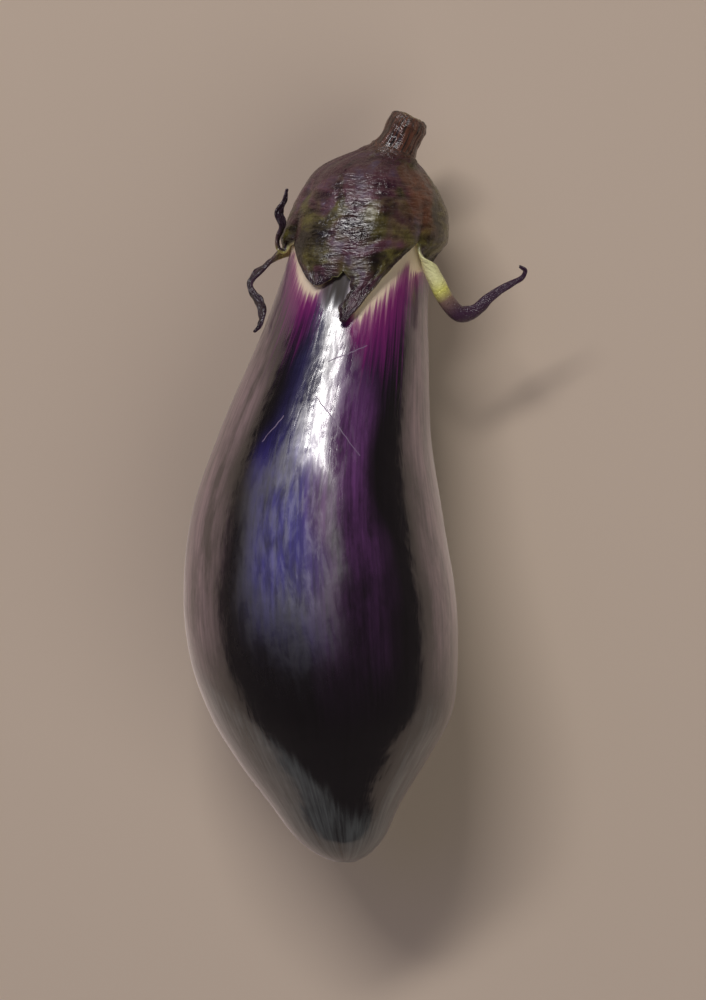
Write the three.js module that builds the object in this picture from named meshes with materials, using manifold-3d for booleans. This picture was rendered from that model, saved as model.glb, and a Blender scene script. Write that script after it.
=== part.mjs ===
// An eggplant as picked, lying on its side: the long fruit, the fleshy calyx that caps its neck
// with seven pointed lobes, and the cut stub of its stem.
// Millimetres, +Z up. The stem end points to +Y and the blossom end to -Y.
// Azimuth turns about the fruit's length: 0 is the upper side (+Z) and 90 degrees the side at +X.
// A "reach" is a distance over the skin from the top of the fruit, which the calyx hides.

import * as THREE from "three";
import { mergeVertices } from "three/addons/utils/BufferGeometryUtils.js";
import Module from "manifold-3d";

const wasm = await Module();
wasm.setup();

// The fruit's sections, from its top to the blossom end: distance along the fruit, half width,
// shift to the side, and height of the section's middle above the surface it lies on.
const FRUIT_SECTIONS = [
  { along: 0, half: 0, side: 11.2, height: 23.3 },
  { along: 4, half: 11.6, side: 10, height: 23.4 },
  { along: 14, half: 18.3, side: 9.5, height: 23.9 },
  { along: 30, half: 20.2, side: 6.1, height: 25.2 },
  { along: 46, half: 22.9, side: 3.1, height: 26.6 },
  { along: 72, half: 28.5, side: -1.9, height: 29.8 },
  { along: 94, half: 33.7, side: -3.8, height: 32.8 },
  { along: 115, half: 36.2, side: -3, height: 35.8 },
  { along: 131, half: 35.5, side: -1.9, height: 36.8 },
  { along: 145, half: 32.2, side: -0.3, height: 36.8 },
  { along: 157.5, half: 25.2, side: 0, height: 36.4 },
  { along: 168, half: 18.1, side: 0.6, height: 35.8 },
  { along: 178.5, half: 11.6, side: 2, height: 35 },
  { along: 185, half: 0, side: 3.2, height: 34.5 },
];
const FRUIT_LENGTH = 185;
const FRUIT_DEPTH = 0.97; // height of a section as a share of its width
const FRUIT_SWELL = 0.012; // how far the flesh swells into soft lengthwise cushions
const FRUIT_SIDES = 48;
const FRUIT_RINGS = 46;
const REST_PRESS = 0.6; // depth by which the skin is pressed flat where the fruit rests

// The calyx sits on the fruit with this clearance, and is fleshy at the top and thin at its lobes.
const CALYX_GAP = 0.35;
const CALYX_THICKNESS = 2.5;
const LOBE_THICKNESS = 1.7;
const MARGIN_THINNING = 0.4; // share of its thickness that a lobe loses at its margins
const TAIL_THICKNESS = 0.9;
const FLARE_REACH = 14; // where the dome of the calyx starts to sweep up into the stem
const FLARE_THICKNESS = 3.6;
const GROOVE_DEPTH = 0.7; // valley that runs from each notch towards the stem

const DOME_ROWS = 6;
const CROWN_ROWS = 4;
const FLARE_ROWS = 5;

// The stem leans to +X and a little up, from the neck where it leaves the calyx.
const STEM_NECK = new THREE.Vector3(16.8, 4.6, 24.4);
const STEM_AXIS = new THREE.Vector3(0.42, 0.88, 0.12).normalize();
const STEM_GAP = 0.3;
const STEM_OUTLINE = [
  { up: 0, half: 6 },
  { up: 3, half: 5.7 },
  { up: 6, half: 5.8 },
  { up: 8.4, half: 5.6 },
  { up: 9.9, half: 4.5 },
  { up: 10.5, half: 2.3 },
];
const STEM_TOP = 10.6;
const STEM_SIDES = 24;

// The notches between the lobes, in the order of their azimuth in degrees.
const NOTCHES = [
  { azimuth: -64, reach: 31 },
  { azimuth: -10, reach: 39.5 },
  { azimuth: 44, reach: 31 },
  { azimuth: 110, reach: 30 },
  { azimuth: 170, reach: 31 },
  { azimuth: 230, reach: 30 },
  { azimuth: 262, reach: 30 },
];

// The lobe that follows each notch. A lobe that hugs the fruit states the azimuth of its tip, its
// length and its half widths. A dried lobe that has left the fruit states the points it passes,
// the way its outer face looks there, and its half width. The right lobe has also rolled up, from
// its front margin, into a tube that shows its inner face.
const LOBES = [
  { name: "front left", columns: 6, rows: 6, tip: -27, length: 8, lift: 0.6, halves: [11.3, 9.6, 7.4, 4.6, 1.4] },
  { name: "front", columns: 6, rows: 10, tip: -2.5, length: 17.5, lift: 1.7, halves: [9.8, 6.6, 3.9, 2.8, 1.6] },
  {
    name: "right",
    columns: 10,
    rows: 32,
    leave: [7, 12],
    roll: {
      fold: [[0, 44], [2, 48.5], [5, 54], [7, 58], [9, 61], [14, 66]],
      rolled: [[0, 0], [2, 0.07], [5, 0.36], [7, 0.72], [9, 0.93], [11, 1], [14, 1]],
    },
    path: [
      { at: [26.8, -23.6, 36.5], face: [0.82, 0.1, 0.57], half: 6.6 },
      { at: [26.8, -27.6, 36], face: [0.87, 0.1, 0.49], half: 4.8 },
      { at: [28, -32, 35.2], face: [0.9, 0.1, 0.4], half: 4.8 },
      { at: [30.5, -36.4, 34.4], face: [0.9, 0.3, 0.3], half: 4.8 },
      { at: [33.8, -39.6, 33.6], face: [0.7, 0.6, 0.3], half: 4.2 },
      { at: [36.9, -39.2, 33], face: [0.3, 0.9, 0.3], half: 2.8 },
      { at: [39.8, -36.9, 32.4], face: [-0.1, 0.9, 0.3], half: 2 },
      { at: [42.9, -34, 31.8], face: [-0.3, 0.9, 0.2], half: 1.5 },
      { at: [47.2, -31.4, 31.4], face: [-0.2, 0.9, 0.2], half: 1.1 },
      { at: [50.6, -29.7, 31.4], face: [-0.3, 0.9, 0.2], half: 0.8 },
      { at: [51.6, -27.9, 31.8], face: [-0.9, 0.1, 0.2], half: 0.6 },
      { at: [50.1, -26.9, 32.2], face: [-0.2, -0.9, 0.2], half: 0.35 },
    ],
  },
  { name: "under right", columns: 6, rows: 7, tip: 138, length: 15, lift: 0.5, halves: [10.9, 8, 5.2, 3, 1] },
  { name: "under left", columns: 6, rows: 7, tip: 203, length: 16, lift: 0.5, halves: [10.9, 7.8, 4.9, 2.8, 0.9] },
  {
    name: "left, trailing",
    columns: 4,
    rows: 26,
    leave: [0.5, 5],
    path: [
      { at: [-11.2, -21.6, 18], face: [-0.7, 0.6, -0.4], half: 3 },
      { at: [-14.6, -23.8, 19.8], face: [-0.5, 0.75, -0.4], half: 1.9 },
      { at: [-18, -26.6, 22], face: [-0.5, 0.8, 0.2], half: 1.7 },
      { at: [-20.7, -29, 23.8], face: [-0.5, 0.6, 0.6], half: 1.3 },
      { at: [-21.8, -31.4, 25], face: [-0.7, 0.1, 0.7], half: 1 },
      { at: [-21, -33.7, 26], face: [-0.6, -0.2, 0.8], half: 1.1 },
      { at: [-19.4, -36, 27.8], face: [-0.6, 0.1, 0.8], half: 1.3 },
      { at: [-18.6, -38.4, 29.6], face: [-0.7, 0.1, 0.7], half: 1.3 },
      { at: [-18.5, -40.8, 31], face: [-0.8, 0, 0.6], half: 1 },
      { at: [-19.2, -42.8, 32], face: [-0.6, 0.4, 0.6], half: 0.7 },
      { at: [-20.6, -44.3, 32.4], face: [-0.3, 0.7, 0.6], half: 0.35 },
    ],
  },
  {
    name: "left, turned up",
    columns: 4,
    rows: 20,
    leave: [0.5, 2.5],
    path: [
      { at: [-11.5, -21.4, 27.8], face: [-0.9, 0.5, 0.1], half: 2.2 },
      { at: [-13, -23.3, 28.6], face: [-0.2, 1, 0.1], half: 1.3 },
      { at: [-15, -22, 29.4], face: [0.8, 0.5, 0.2], half: 1 },
      { at: [-15, -18.8, 30], face: [0.9, 0.1, 0.3], half: 1.1 },
      { at: [-13.7, -15.8, 31], face: [0.8, -0.1, 0.5], half: 1.2 },
      { at: [-14.5, -12.4, 31.8], face: [0.7, -0.2, 0.7], half: 1.3 },
      { at: [-13.1, -9.2, 32.6], face: [0.8, -0.1, 0.5], half: 0.8 },
      { at: [-12.4, -6.4, 33.4], face: [0.7, -0.3, 0.5], half: 0.35 },
    ],
  },
];
const ROLL_RADIUS = 2.2;
const ROLL_OPENING = 1.9; // angle at which the middle of a narrow tail stands on its tube
const CUP_RADIUS = { base: 20, tail: 2.2 }; // how tightly a lobe is rolled across its width

const radians = THREE.MathUtils.degToRad;
const distance = (a, b) => Math.hypot(b[0] - a[0], b[1] - a[1], b[2] - a[2]);
const mix = THREE.MathUtils.lerp;
const ease = THREE.MathUtils.smoothstep;

// A smooth curve through [position, value] pairs: cubic spans that take their slopes from the neighbours.
function curveThrough(pairs) {
  const last = pairs.length - 1;
  const slope = (i) => {
    const [x0, y0] = pairs[Math.max(0, i - 1)];
    const [x1, y1] = pairs[Math.min(last, i + 1)];
    return (y1 - y0) / (x1 - x0);
  };
  return (x) => {
    let i = 0;
    while (i < last - 1 && x > pairs[i + 1][0]) i++;
    const [x0, y0] = pairs[i];
    const [x1, y1] = pairs[i + 1];
    const span = x1 - x0;
    const t = THREE.MathUtils.clamp((x - x0) / span, 0, 1);
    const rise = t * t * (3 - 2 * t);
    const fromStart = t * (1 - t) * (1 - t) * span * slope(i);
    const fromEnd = t * t * (t - 1) * span * slope(i + 1);
    return mix(y0, y1, rise) + fromStart + fromEnd;
  };
}

// The skin of the fruit. Half widths are smoothed as squares, which rounds both ends.
const halfSquared = curveThrough(FRUIT_SECTIONS.map((s) => [s.along, s.half * s.half]));
const sideAt = curveThrough(FRUIT_SECTIONS.map((s) => [s.along, s.side]));
const heightAt = curveThrough(FRUIT_SECTIONS.map((s) => [s.along, s.height]));
const halfAt = (along) => Math.sqrt(Math.max(0, halfSquared(along)));

function skinPoint(azimuth, along) {
  const swell = 1 + FRUIT_SWELL * Math.sin(3 * azimuth) * Math.sin((Math.PI * along) / FRUIT_LENGTH);
  const half = halfAt(along) * swell;
  return new THREE.Vector3(
    sideAt(along) + half * Math.sin(azimuth),
    -along,
    heightAt(along) + half * FRUIT_DEPTH * Math.cos(azimuth),
  );
}

// The distance along the fruit for each step of reach over the skin of its neck.
const REACH_STEP = 0.25;
const alongSteps = [0];
for (let along = 0, reach = 0; along < 70; along += 0.002) {
  reach += Math.hypot(0.002, halfAt(along + 0.002) - halfAt(along));
  if (reach >= alongSteps.length * REACH_STEP) alongSteps.push(along + 0.002);
}

function alongOf(reach) {
  const step = reach / REACH_STEP;
  const i = Math.min(Math.floor(step), alongSteps.length - 2);
  return mix(alongSteps[i], alongSteps[i + 1], step - i);
}

function skinNormal(azimuth, reach) {
  const r = Math.max(reach, 1);
  const turn = 0.01;
  const across = skinPoint(azimuth + turn, alongOf(r)).sub(skinPoint(azimuth - turn, alongOf(r)));
  const down = skinPoint(azimuth, alongOf(r + 0.5)).sub(skinPoint(azimuth, alongOf(r - 0.5)));
  return down.cross(across).normalize();
}

function overSkin(azimuth, reach, height) {
  return skinPoint(azimuth, alongOf(reach)).addScaledVector(skinNormal(azimuth, reach), height);
}

// Triangles are gathered in a list of points, three for each, and become one closed geometry.
function addTriangle(points, a, b, c) {
  points.push(a, b, c);
}

// A sheet of rows of points. Both faces of a sheet split their cells along the same diagonal.
function addSheet(points, rows, facesOut) {
  for (let r = 0; r < rows.length - 1; r++) {
    for (let c = 0; c < rows[r].length - 1; c++) {
      const [a, b] = [rows[r][c], rows[r + 1][c]];
      const [e, d] = [rows[r][c + 1], rows[r + 1][c + 1]];
      if (facesOut) {
        addTriangle(points, a, b, e);
        addTriangle(points, b, d, e);
      } else {
        addTriangle(points, a, e, b);
        addTriangle(points, b, e, d);
      }
    }
  }
}

function addFan(points, centre, ring, facesOut) {
  for (let c = 0; c < ring.length - 1; c++) {
    if (facesOut) addTriangle(points, centre, ring[c], ring[c + 1]);
    else addTriangle(points, centre, ring[c + 1], ring[c]);
  }
}

function closedGeometry(points) {
  const raw = new THREE.BufferGeometry().setFromPoints(points);
  const merged = mergeVertices(raw, 1e-3);
  const index = [];
  for (let i = 0; i < merged.index.count; i += 3) {
    const [a, b, c] = [merged.index.getX(i), merged.index.getX(i + 1), merged.index.getX(i + 2)];
    if (a !== b && b !== c && c !== a) index.push(a, b, c);
  }
  merged.setIndex(index);
  return merged;
}

function asSolid(geometry) {
  return new wasm.Manifold(
    new wasm.Mesh({
      numProp: 3,
      vertProperties: geometry.attributes.position.array,
      triVerts: new Uint32Array(geometry.index.array),
    }),
  );
}

function asGeometry(solid) {
  const mesh = solid.getMesh();
  return new THREE.BufferGeometry()
    .setAttribute("position", new THREE.BufferAttribute(mesh.vertProperties, 3))
    .setIndex(new THREE.BufferAttribute(mesh.triVerts, 1));
}

// The fruit: rings of skin that crowd towards both ends, with a small flat pressed into its underside.
function makeFruit() {
  const points = [];
  const rings = [];
  for (let r = 1; r < FRUIT_RINGS; r++) {
    const along = (FRUIT_LENGTH * (1 - Math.cos((Math.PI * r) / FRUIT_RINGS))) / 2;
    const ring = [];
    for (let c = 0; c <= FRUIT_SIDES; c++) {
      ring.push(skinPoint((2 * Math.PI * (c % FRUIT_SIDES)) / FRUIT_SIDES, along));
    }
    rings.push(ring);
  }
  addFan(points, skinPoint(0, 0), rings[0], true);
  addSheet(points, rings, true);
  addFan(points, skinPoint(0, FRUIT_LENGTH), rings.at(-1), false);

  const whole = closedGeometry(points);
  whole.computeBoundingBox();
  const floor = new THREE.BoxGeometry(400, 600, 60);
  floor.deleteAttribute("normal");
  floor.deleteAttribute("uv");
  floor.translate(0, 0, whole.boundingBox.min.z + REST_PRESS - 30);
  return asGeometry(asSolid(whole).subtract(asSolid(mergeVertices(floor))));
}

// The share of a lobe's width at which each column stands, from its left margin to its right.
const sharesOf = ({ columns }) => Array.from({ length: columns + 1 }, (_, c) => (2 * c) / columns - 1);

function notchAfter(i) {
  const next = NOTCHES[(i + 1) % NOTCHES.length];
  const turns = i + 1 === NOTCHES.length ? 360 : 0;
  return { azimuth: next.azimuth + turns, reach: next.reach };
}

// Where a lobe's column starts: the azimuth and reach of the line that joins its two notches.
function baseOf(i, share) {
  const [left, right] = [NOTCHES[i], notchAfter(i)];
  const t = (share + 1) / 2;
  return { azimuth: radians(mix(left.azimuth, right.azimuth, t)), reach: mix(left.reach, right.reach, t) };
}

function domeThickness(share, reach) {
  const groove = GROOVE_DEPTH * Math.pow(Math.abs(share), 4) * ease(reach, FLARE_REACH, FLARE_REACH + 8);
  return mix(FLARE_THICKNESS, CALYX_THICKNESS, ease(reach, FLARE_REACH - 2, 24)) - groove;
}

// A lobe that lies along the fruit, as rows of points on its inner face and normals to it.
function huggingLobe(lobe, i) {
  const halves = curveThrough(lobe.halves.map((half, n) => [n / (lobe.halves.length - 1), half]));
  const middle = baseOf(i, 0);
  return (share, t) => {
    const base = baseOf(i, share);
    const reach = mix(base.reach, middle.reach, ease(t, 0, 1)) + lobe.length * t;
    const centre = mix(middle.azimuth, radians(lobe.tip), ease(t, 0, 1));
    const widthAngle = base.azimuth - middle.azimuth;
    const azimuth = centre + (widthAngle * halves(t)) / lobe.halves[0];
    const margin = 1 - MARGIN_THINNING * Math.pow(Math.abs(share), 3);
    return {
      point: overSkin(azimuth, reach, CALYX_GAP + lobe.lift * t * t),
      normal: skinNormal(azimuth, reach),
      thickness: mix(domeThickness(share, reach), LOBE_THICKNESS * margin, ease(t, 0, 0.7)),
    };
  };
}

// The section of a dried lobe: how far a point lies across and above its line, and how its outer
// face turns there. A flat lobe is cupped; a rolled one curls up from its front margin.
function cuppedSection(share, half, d) {
  const cup = mix(CUP_RADIUS.base, CUP_RADIUS.tail, ease(d, 0, 16));
  const turn = (share * half) / cup;
  return { across: cup * Math.sin(turn), above: -cup * (1 - Math.cos(turn)), turn };
}

function rolledSection(share, half, d, rolledAt) {
  const rolled = 2 * half * rolledAt(d);
  const fromBack = (1 - share) * half;
  const flat = 2 * half - rolled;
  if (fromBack < flat) return { across: flat - fromBack, above: -ROLL_RADIUS, turn: 0 };
  const spread = rolled / (2 * ROLL_RADIUS);
  const start = mix(0, ROLL_OPENING - spread, ease(d, 8, 14));
  const turn = start + (fromBack - flat) / ROLL_RADIUS;
  const centring = (ROLL_RADIUS * Math.sin(spread) * ease(d, 8, 18)) / Math.max(spread, 0.01);
  return {
    across: centring * Math.sin(start + spread) - ROLL_RADIUS * Math.sin(turn),
    above: centring * Math.cos(start + spread) - ROLL_RADIUS * Math.cos(turn),
    turn,
  };
}

// A dried lobe that leaves the fruit and bends away along a path of its own.
function freeLobe(lobe, i) {
  const middle = baseOf(i, 0);
  const [leaveFrom, leaveTo] = lobe.leave;
  const baseHalf = halfAt(alongOf(middle.reach)) * (baseOf(i, 1).azimuth - middle.azimuth);
  const start = overSkin(middle.azimuth, middle.reach, CALYX_GAP);
  const normal = skinNormal(middle.azimuth, middle.reach);
  const stations = [{ at: start.toArray(), face: normal.toArray(), half: baseHalf }, ...lobe.path];
  const distances = [0];
  for (let n = 1; n < stations.length; n++) {
    const step = n === 1 ? stations[0].at[1] - stations[1].at[1] : distance(stations[n - 1].at, stations[n].at);
    distances.push(distances[n - 1] + step);
  }
  const total = distances.at(-1);
  const track = (pick) => curveThrough(stations.map((s, n) => [distances[n], pick(s)]));
  const [atX, atY, atZ] = [0, 1, 2].map((k) => track((s) => s.at[k]));
  const [faceX, faceY, faceZ] = [0, 1, 2].map((k) => track((s) => s.face[k]));
  const halfWidth = track((s) => s.half);
  const onPath = (d) => new THREE.Vector3(atX(d), atY(d), atZ(d));
  const foldAt = lobe.roll && curveThrough(lobe.roll.fold);
  const rolledAt = lobe.roll && curveThrough(lobe.roll.rolled);

  return (share, t) => {
    const d = total * t;
    const half = halfWidth(d);
    const section = lobe.roll ? rolledSection(share, half, d, rolledAt) : cuppedSection(share, half, d);
    const tangent = onPath(d + 0.05).sub(onPath(d - 0.05)).normalize();
    const face = new THREE.Vector3(faceX(d), faceY(d), faceZ(d));
    face.addScaledVector(tangent, -face.dot(tangent)).normalize();
    const side = face.clone().cross(tangent);
    const free = onPath(d).addScaledVector(side, section.across).addScaledVector(face, section.above);
    const freeNormal = face.multiplyScalar(Math.cos(section.turn)).addScaledVector(side, Math.sin(section.turn));

    const base = baseOf(i, share);
    const reach = mix(base.reach, middle.reach, ease(d, 0, 7)) + d;
    const spread = lobe.roll ? section.across : share * half;
    const line = lobe.roll ? radians(foldAt(d)) : middle.azimuth;
    const azimuth = line + spread / halfAt(alongOf(middle.reach + d));
    const above = lobe.roll ? section.above + ROLL_RADIUS : 0;
    const hugNormal = skinNormal(azimuth, reach);
    const hug = overSkin(azimuth, reach, CALYX_GAP + above);
    if (lobe.roll) {
      const sideways = skinNormal(azimuth + Math.PI / 2, reach);
      hugNormal.multiplyScalar(Math.cos(section.turn)).addScaledVector(sideways, Math.sin(section.turn));
    }
    const away = ease(d, leaveFrom, leaveTo);
    return {
      point: hug.lerp(free, away),
      normal: hugNormal.lerp(freeNormal, away).normalize(),
      thickness: mix(domeThickness(share, base.reach), TAIL_THICKNESS, ease(d, 0, 4)),
    };
  };
}

// The calyx: a dome on the neck of the fruit whose edge runs out into the lobes.
function makeCalyx() {
  const points = [];
  const inner = { crown: [], dome: [] };
  const outer = { flare: [], dome: [] };
  const columns = [];
  LOBES.forEach((lobe, i) => sharesOf(lobe).slice(0, -1).forEach((share) => columns.push({ i, share })));
  columns.push(columns[0]);

  const ringOf = (place) => columns.map(({ i, share }) => place(baseOf(i, share), share));
  for (let r = 1; r <= CROWN_ROWS; r++) {
    const reach = (FLARE_REACH * r) / CROWN_ROWS;
    inner.crown.push(ringOf((base) => overSkin(base.azimuth, reach, CALYX_GAP)));
  }
  for (let r = 0; r <= DOME_ROWS; r++) {
    const reachOf = (base) => mix(FLARE_REACH, base.reach, r / DOME_ROWS);
    inner.dome.push(ringOf((base) => overSkin(base.azimuth, reachOf(base), CALYX_GAP)));
    outer.dome.push(
      ringOf((base, share) => {
        const reach = reachOf(base);
        return overSkin(base.azimuth, reach, CALYX_GAP + domeThickness(share, reach));
      }),
    );
  }

  // The flare: each column sweeps from the dome up to the ring where the stem begins.
  const { toRight, toTop } = stemFrame();
  const neckHalf = STEM_OUTLINE[0].half;
  for (let r = 0; r <= FLARE_ROWS; r++) {
    outer.flare.push(
      ringOf((base, share) => {
        const foot = overSkin(base.azimuth, FLARE_REACH, CALYX_GAP + domeThickness(share, FLARE_REACH));
        const below = overSkin(base.azimuth, FLARE_REACH + 1, CALYX_GAP + domeThickness(share, FLARE_REACH + 1));
        const ring = STEM_NECK.clone()
          .addScaledVector(toRight, neckHalf * Math.sin(base.azimuth))
          .addScaledVector(toTop, neckHalf * Math.cos(base.azimuth));
        const pull = foot.distanceTo(ring) * 0.4;
        const inwards = foot.clone().sub(below).normalize();
        return new THREE.CubicBezierCurve3(
          ring,
          ring.clone().addScaledVector(STEM_AXIS, -0.3 * pull),
          foot.clone().addScaledVector(inwards, pull),
          foot,
        ).getPoint(r / FLARE_ROWS);
      }),
    );
  }
  addFan(points, overSkin(0, 0, CALYX_GAP), inner.crown[0], false);
  addSheet(points, inner.crown, false);
  addSheet(points, inner.dome, false);
  addFan(points, STEM_NECK, outer.flare[0], true);
  addSheet(points, outer.flare, true);
  addSheet(points, outer.dome, true);

  LOBES.forEach((lobe, i) => {
    const shape = lobe.path ? freeLobe(lobe, i) : huggingLobe(lobe, i);
    const innerRows = [];
    const outerRows = [];
    for (let r = 0; r <= lobe.rows; r++) {
      const cells = sharesOf(lobe).map((share) => shape(share, r / lobe.rows));
      innerRows.push(cells.map((cell) => cell.point));
      outerRows.push(cells.map((cell) => cell.point.clone().addScaledVector(cell.normal, cell.thickness)));
    }
    addSheet(points, innerRows, false);
    addSheet(points, outerRows, true);
    const margin = (c) => innerRows.map((row, r) => [outerRows[r][c], row[c]]);
    addSheet(points, margin(0), false);
    addSheet(points, margin(lobe.columns), true);
    addSheet(points, [outerRows.at(-1), innerRows.at(-1)], true);
  });
  return closedGeometry(points);
}

// Two directions across the stem, the first to the side and the second upwards.
function stemFrame() {
  const toTop = new THREE.Vector3(0, 0, 1);
  toTop.addScaledVector(STEM_AXIS, -toTop.dot(STEM_AXIS)).normalize();
  return { toTop, toRight: new THREE.Vector3().crossVectors(STEM_AXIS, toTop) };
}

// The stem stub: a short thick neck that swells to its rounded, cut end.
function makeStem() {
  const points = [];
  const { toRight, toTop } = stemFrame();
  const rings = [...STEM_OUTLINE].reverse().map(({ up, half }) => {
    const centre = STEM_NECK.clone().addScaledVector(STEM_AXIS, Math.max(up, STEM_GAP));
    return Array.from({ length: STEM_SIDES + 1 }, (_, c) => {
      const azimuth = (2 * Math.PI * (c % STEM_SIDES)) / STEM_SIDES;
      return centre
        .clone()
        .addScaledVector(toRight, half * Math.sin(azimuth))
        .addScaledVector(toTop, half * Math.cos(azimuth));
    });
  });
  addFan(points, STEM_NECK.clone().addScaledVector(STEM_AXIS, STEM_TOP), rings[0], true);
  addSheet(points, rings, true);
  addFan(points, STEM_NECK.clone().addScaledVector(STEM_AXIS, STEM_GAP), rings.at(-1), false);
  return closedGeometry(points);
}

const skin = new THREE.MeshStandardMaterial({ color: 0x1e0f26, roughness: 0.22, metalness: 0 });
const calyxFlesh = new THREE.MeshStandardMaterial({ color: 0x43372c, roughness: 0.5, metalness: 0 });
const stemBark = new THREE.MeshStandardMaterial({ color: 0x4a3d33, roughness: 0.6, metalness: 0 });

function named(name, geometry, material) {
  const mesh = new THREE.Mesh(geometry, material);
  mesh.name = name;
  return mesh;
}

const eggplant = new THREE.Group();
eggplant.add(named("fruit", makeFruit(), skin));
eggplant.add(named("calyx", makeCalyx(), calyxFlesh));
eggplant.add(named("stem", makeStem(), stemBark));

// The origin is under the middle of the whole eggplant, on the surface that it rests on.
const bounds = new THREE.Box3().setFromObject(eggplant);
const middle = bounds.getCenter(new THREE.Vector3());
eggplant.position.set(-middle.x, -middle.y, -bounds.min.z);

export default eggplant;
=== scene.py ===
# %% [markdown]
# # An eggplant, laid down and seen from above
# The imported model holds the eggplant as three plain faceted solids: the fruit, the calyx that caps
# its neck, and the stub of its stem. This lesson grows a finer skin and a finer calyx over the same
# lines, and then gives each the finish that the real thing has. The lines are measured in
# millimetres in the maker's own frame; Blender gets them in metres, in the frame of the model.

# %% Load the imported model
import math

import bpy
import numpy as np
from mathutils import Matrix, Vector, kdtree, noise


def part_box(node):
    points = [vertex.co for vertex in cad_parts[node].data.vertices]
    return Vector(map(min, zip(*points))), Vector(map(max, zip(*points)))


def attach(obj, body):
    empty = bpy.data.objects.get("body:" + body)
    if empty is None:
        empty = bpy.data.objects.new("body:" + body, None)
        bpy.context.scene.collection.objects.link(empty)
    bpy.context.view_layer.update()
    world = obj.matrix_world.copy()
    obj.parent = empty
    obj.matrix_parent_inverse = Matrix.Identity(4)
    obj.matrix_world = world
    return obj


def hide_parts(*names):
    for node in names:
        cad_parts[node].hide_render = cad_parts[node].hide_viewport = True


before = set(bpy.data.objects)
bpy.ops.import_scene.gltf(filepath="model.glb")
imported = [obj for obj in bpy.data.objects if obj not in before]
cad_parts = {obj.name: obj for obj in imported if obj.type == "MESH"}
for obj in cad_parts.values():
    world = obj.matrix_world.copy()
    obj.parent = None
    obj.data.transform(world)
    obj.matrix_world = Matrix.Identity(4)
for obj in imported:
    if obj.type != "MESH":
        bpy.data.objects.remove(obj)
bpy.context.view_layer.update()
MM = 0.001

# %% [markdown]
# ## Camera, floor and light
# An eggplant has almost no colour of its own to show: it is a dark mirror, and what the eye reads is
# what the skin reflects. So the room comes first. The camera looks straight down from afar with a
# long lens, which keeps the outline true. The floor is pale and plain, because the flanks of the
# fruit mirror it as warm bands along both rims.

# %% Camera
FRAME_HEIGHT = 0.265  # metres of floor that the picture's height takes in, at the fruit's middle
FOCUS_HEIGHT = 0.033
LENS_MM = 200
SENSOR_MM = 36
FRAME_MIDDLE = (-0.0008, -0.004)  # the point of the floor that the camera hangs over


def shown(data, name):
    """Puts a new object into the scene."""
    thing = bpy.data.objects.new(name, data)
    bpy.context.scene.collection.objects.link(thing)
    return thing


lens = bpy.data.cameras.new("camera")
lens.lens = LENS_MM
lens.sensor_width = SENSOR_MM
camera = shown(lens, "camera")
camera.location = (*FRAME_MIDDLE, FOCUS_HEIGHT + FRAME_HEIGHT * LENS_MM / SENSOR_MM)
bpy.context.scene.camera = camera
print("camera height", round(camera.location.z, 3), "m")

# %% [markdown]
# The softbox is an area light turned to face the fruit. The slope of the fruit's crest decides where
# it has to stand to be mirrored: the upper half of the crest tilts 17 to 21 degrees towards the
# stem, so the mirrored light stands twice as far over, beyond the stem. It is wide and low, which
# makes a streak that is broad across and stops at the belly.

# %% Key light
FRUIT_MIDDLE = Vector((0, 0, 0.04))
KEY_TILT = math.radians(40)
KEY_SIDE = -0.29
SOFTBOX_REACH = 1.7
KEY_WIDTH = 0.92
KEY_HEIGHT = 0.2
KEY_RADIANCE = 26
PANEL_TINT = (1, 0.97, 0.94)


def softbox(name, towards, width, height, radiance):
    """An area light on the side that is given, turned to the fruit, as bright as its radiance says."""
    panel = bpy.data.lights.new(name, "AREA")
    panel.shape = "RECTANGLE"
    panel.size = width
    panel.size_y = height
    panel.energy = radiance * math.pi * width * height
    panel.color = PANEL_TINT
    light = shown(panel, name)
    light.location = FRUIT_MIDDLE + towards.normalized() * SOFTBOX_REACH
    light.rotation_euler = (-towards).to_track_quat("-Z", "Y").to_euler()
    print(name, [round(v, 2) for v in light.location], round(panel.energy, 2), "W")
    return light


towards_key = Vector((KEY_SIDE, math.sin(KEY_TILT), math.cos(KEY_TILT)))
softbox("key softbox", towards_key, KEY_WIDTH, KEY_HEIGHT, KEY_RADIANCE)

# %% [markdown]
# A second panel, large and weak, opens up the shadows on the other side. A photographer would keep
# it out of the skin's reflections with a polarising sheet; here it is left out of glossy rays.

# %% Fill light
FILL_SIDE = Vector((0.45, -0.6, 0.75))
FILL_SIZE = 1.8
FILL_RADIANCE = 0.9

fill = softbox("fill softbox", FILL_SIDE, FILL_SIZE, FILL_SIZE, FILL_RADIANCE)
fill.visible_glossy = False

# %% [markdown]
# The room and the finishes are made of nodes. Colours are given as sRGB hex values, the way a colour
# picker shows them, and one function turns them into the linear values that Blender mixes. Another
# adds a node with its settings and links, so that a tree reads from top to bottom.


# %% Colour and node helpers
def colour(hex_value):
    """A linear colour with its alpha, from an sRGB hex value."""
    parts = (int(hex_value[i : i + 2], 16) / 255 for i in (1, 3, 5))
    linear = (part / 12.92 if part <= 0.04045 else ((part + 0.055) / 1.055) ** 2.4 for part in parts)
    return (*linear, 1)


def add(tree, kind, inputs=None, stops=None, **settings):
    """Adds a node. Inputs are plain values or sockets to link from, and stops are a ramp's colours."""
    made = tree.nodes.new(kind)
    for name, value in settings.items():
        setattr(made, name, value)
    for name, value in (inputs or {}).items():
        if isinstance(value, bpy.types.NodeSocket):
            tree.links.new(value, made.inputs[name])
        else:
            made.inputs[name].default_value = value
    for n, (place, tint) in enumerate(stops or ()):
        stop = made.color_ramp.elements[n] if n < 2 else made.color_ramp.elements.new(place)
        stop.position = place
        stop.color = colour(tint)
    return made


def new_material(name):
    """An empty material with its output, and the tree to fill."""
    material = bpy.data.materials.new(name)
    material.use_nodes = True
    material.node_tree.nodes.clear()
    return material, material.node_tree


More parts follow.
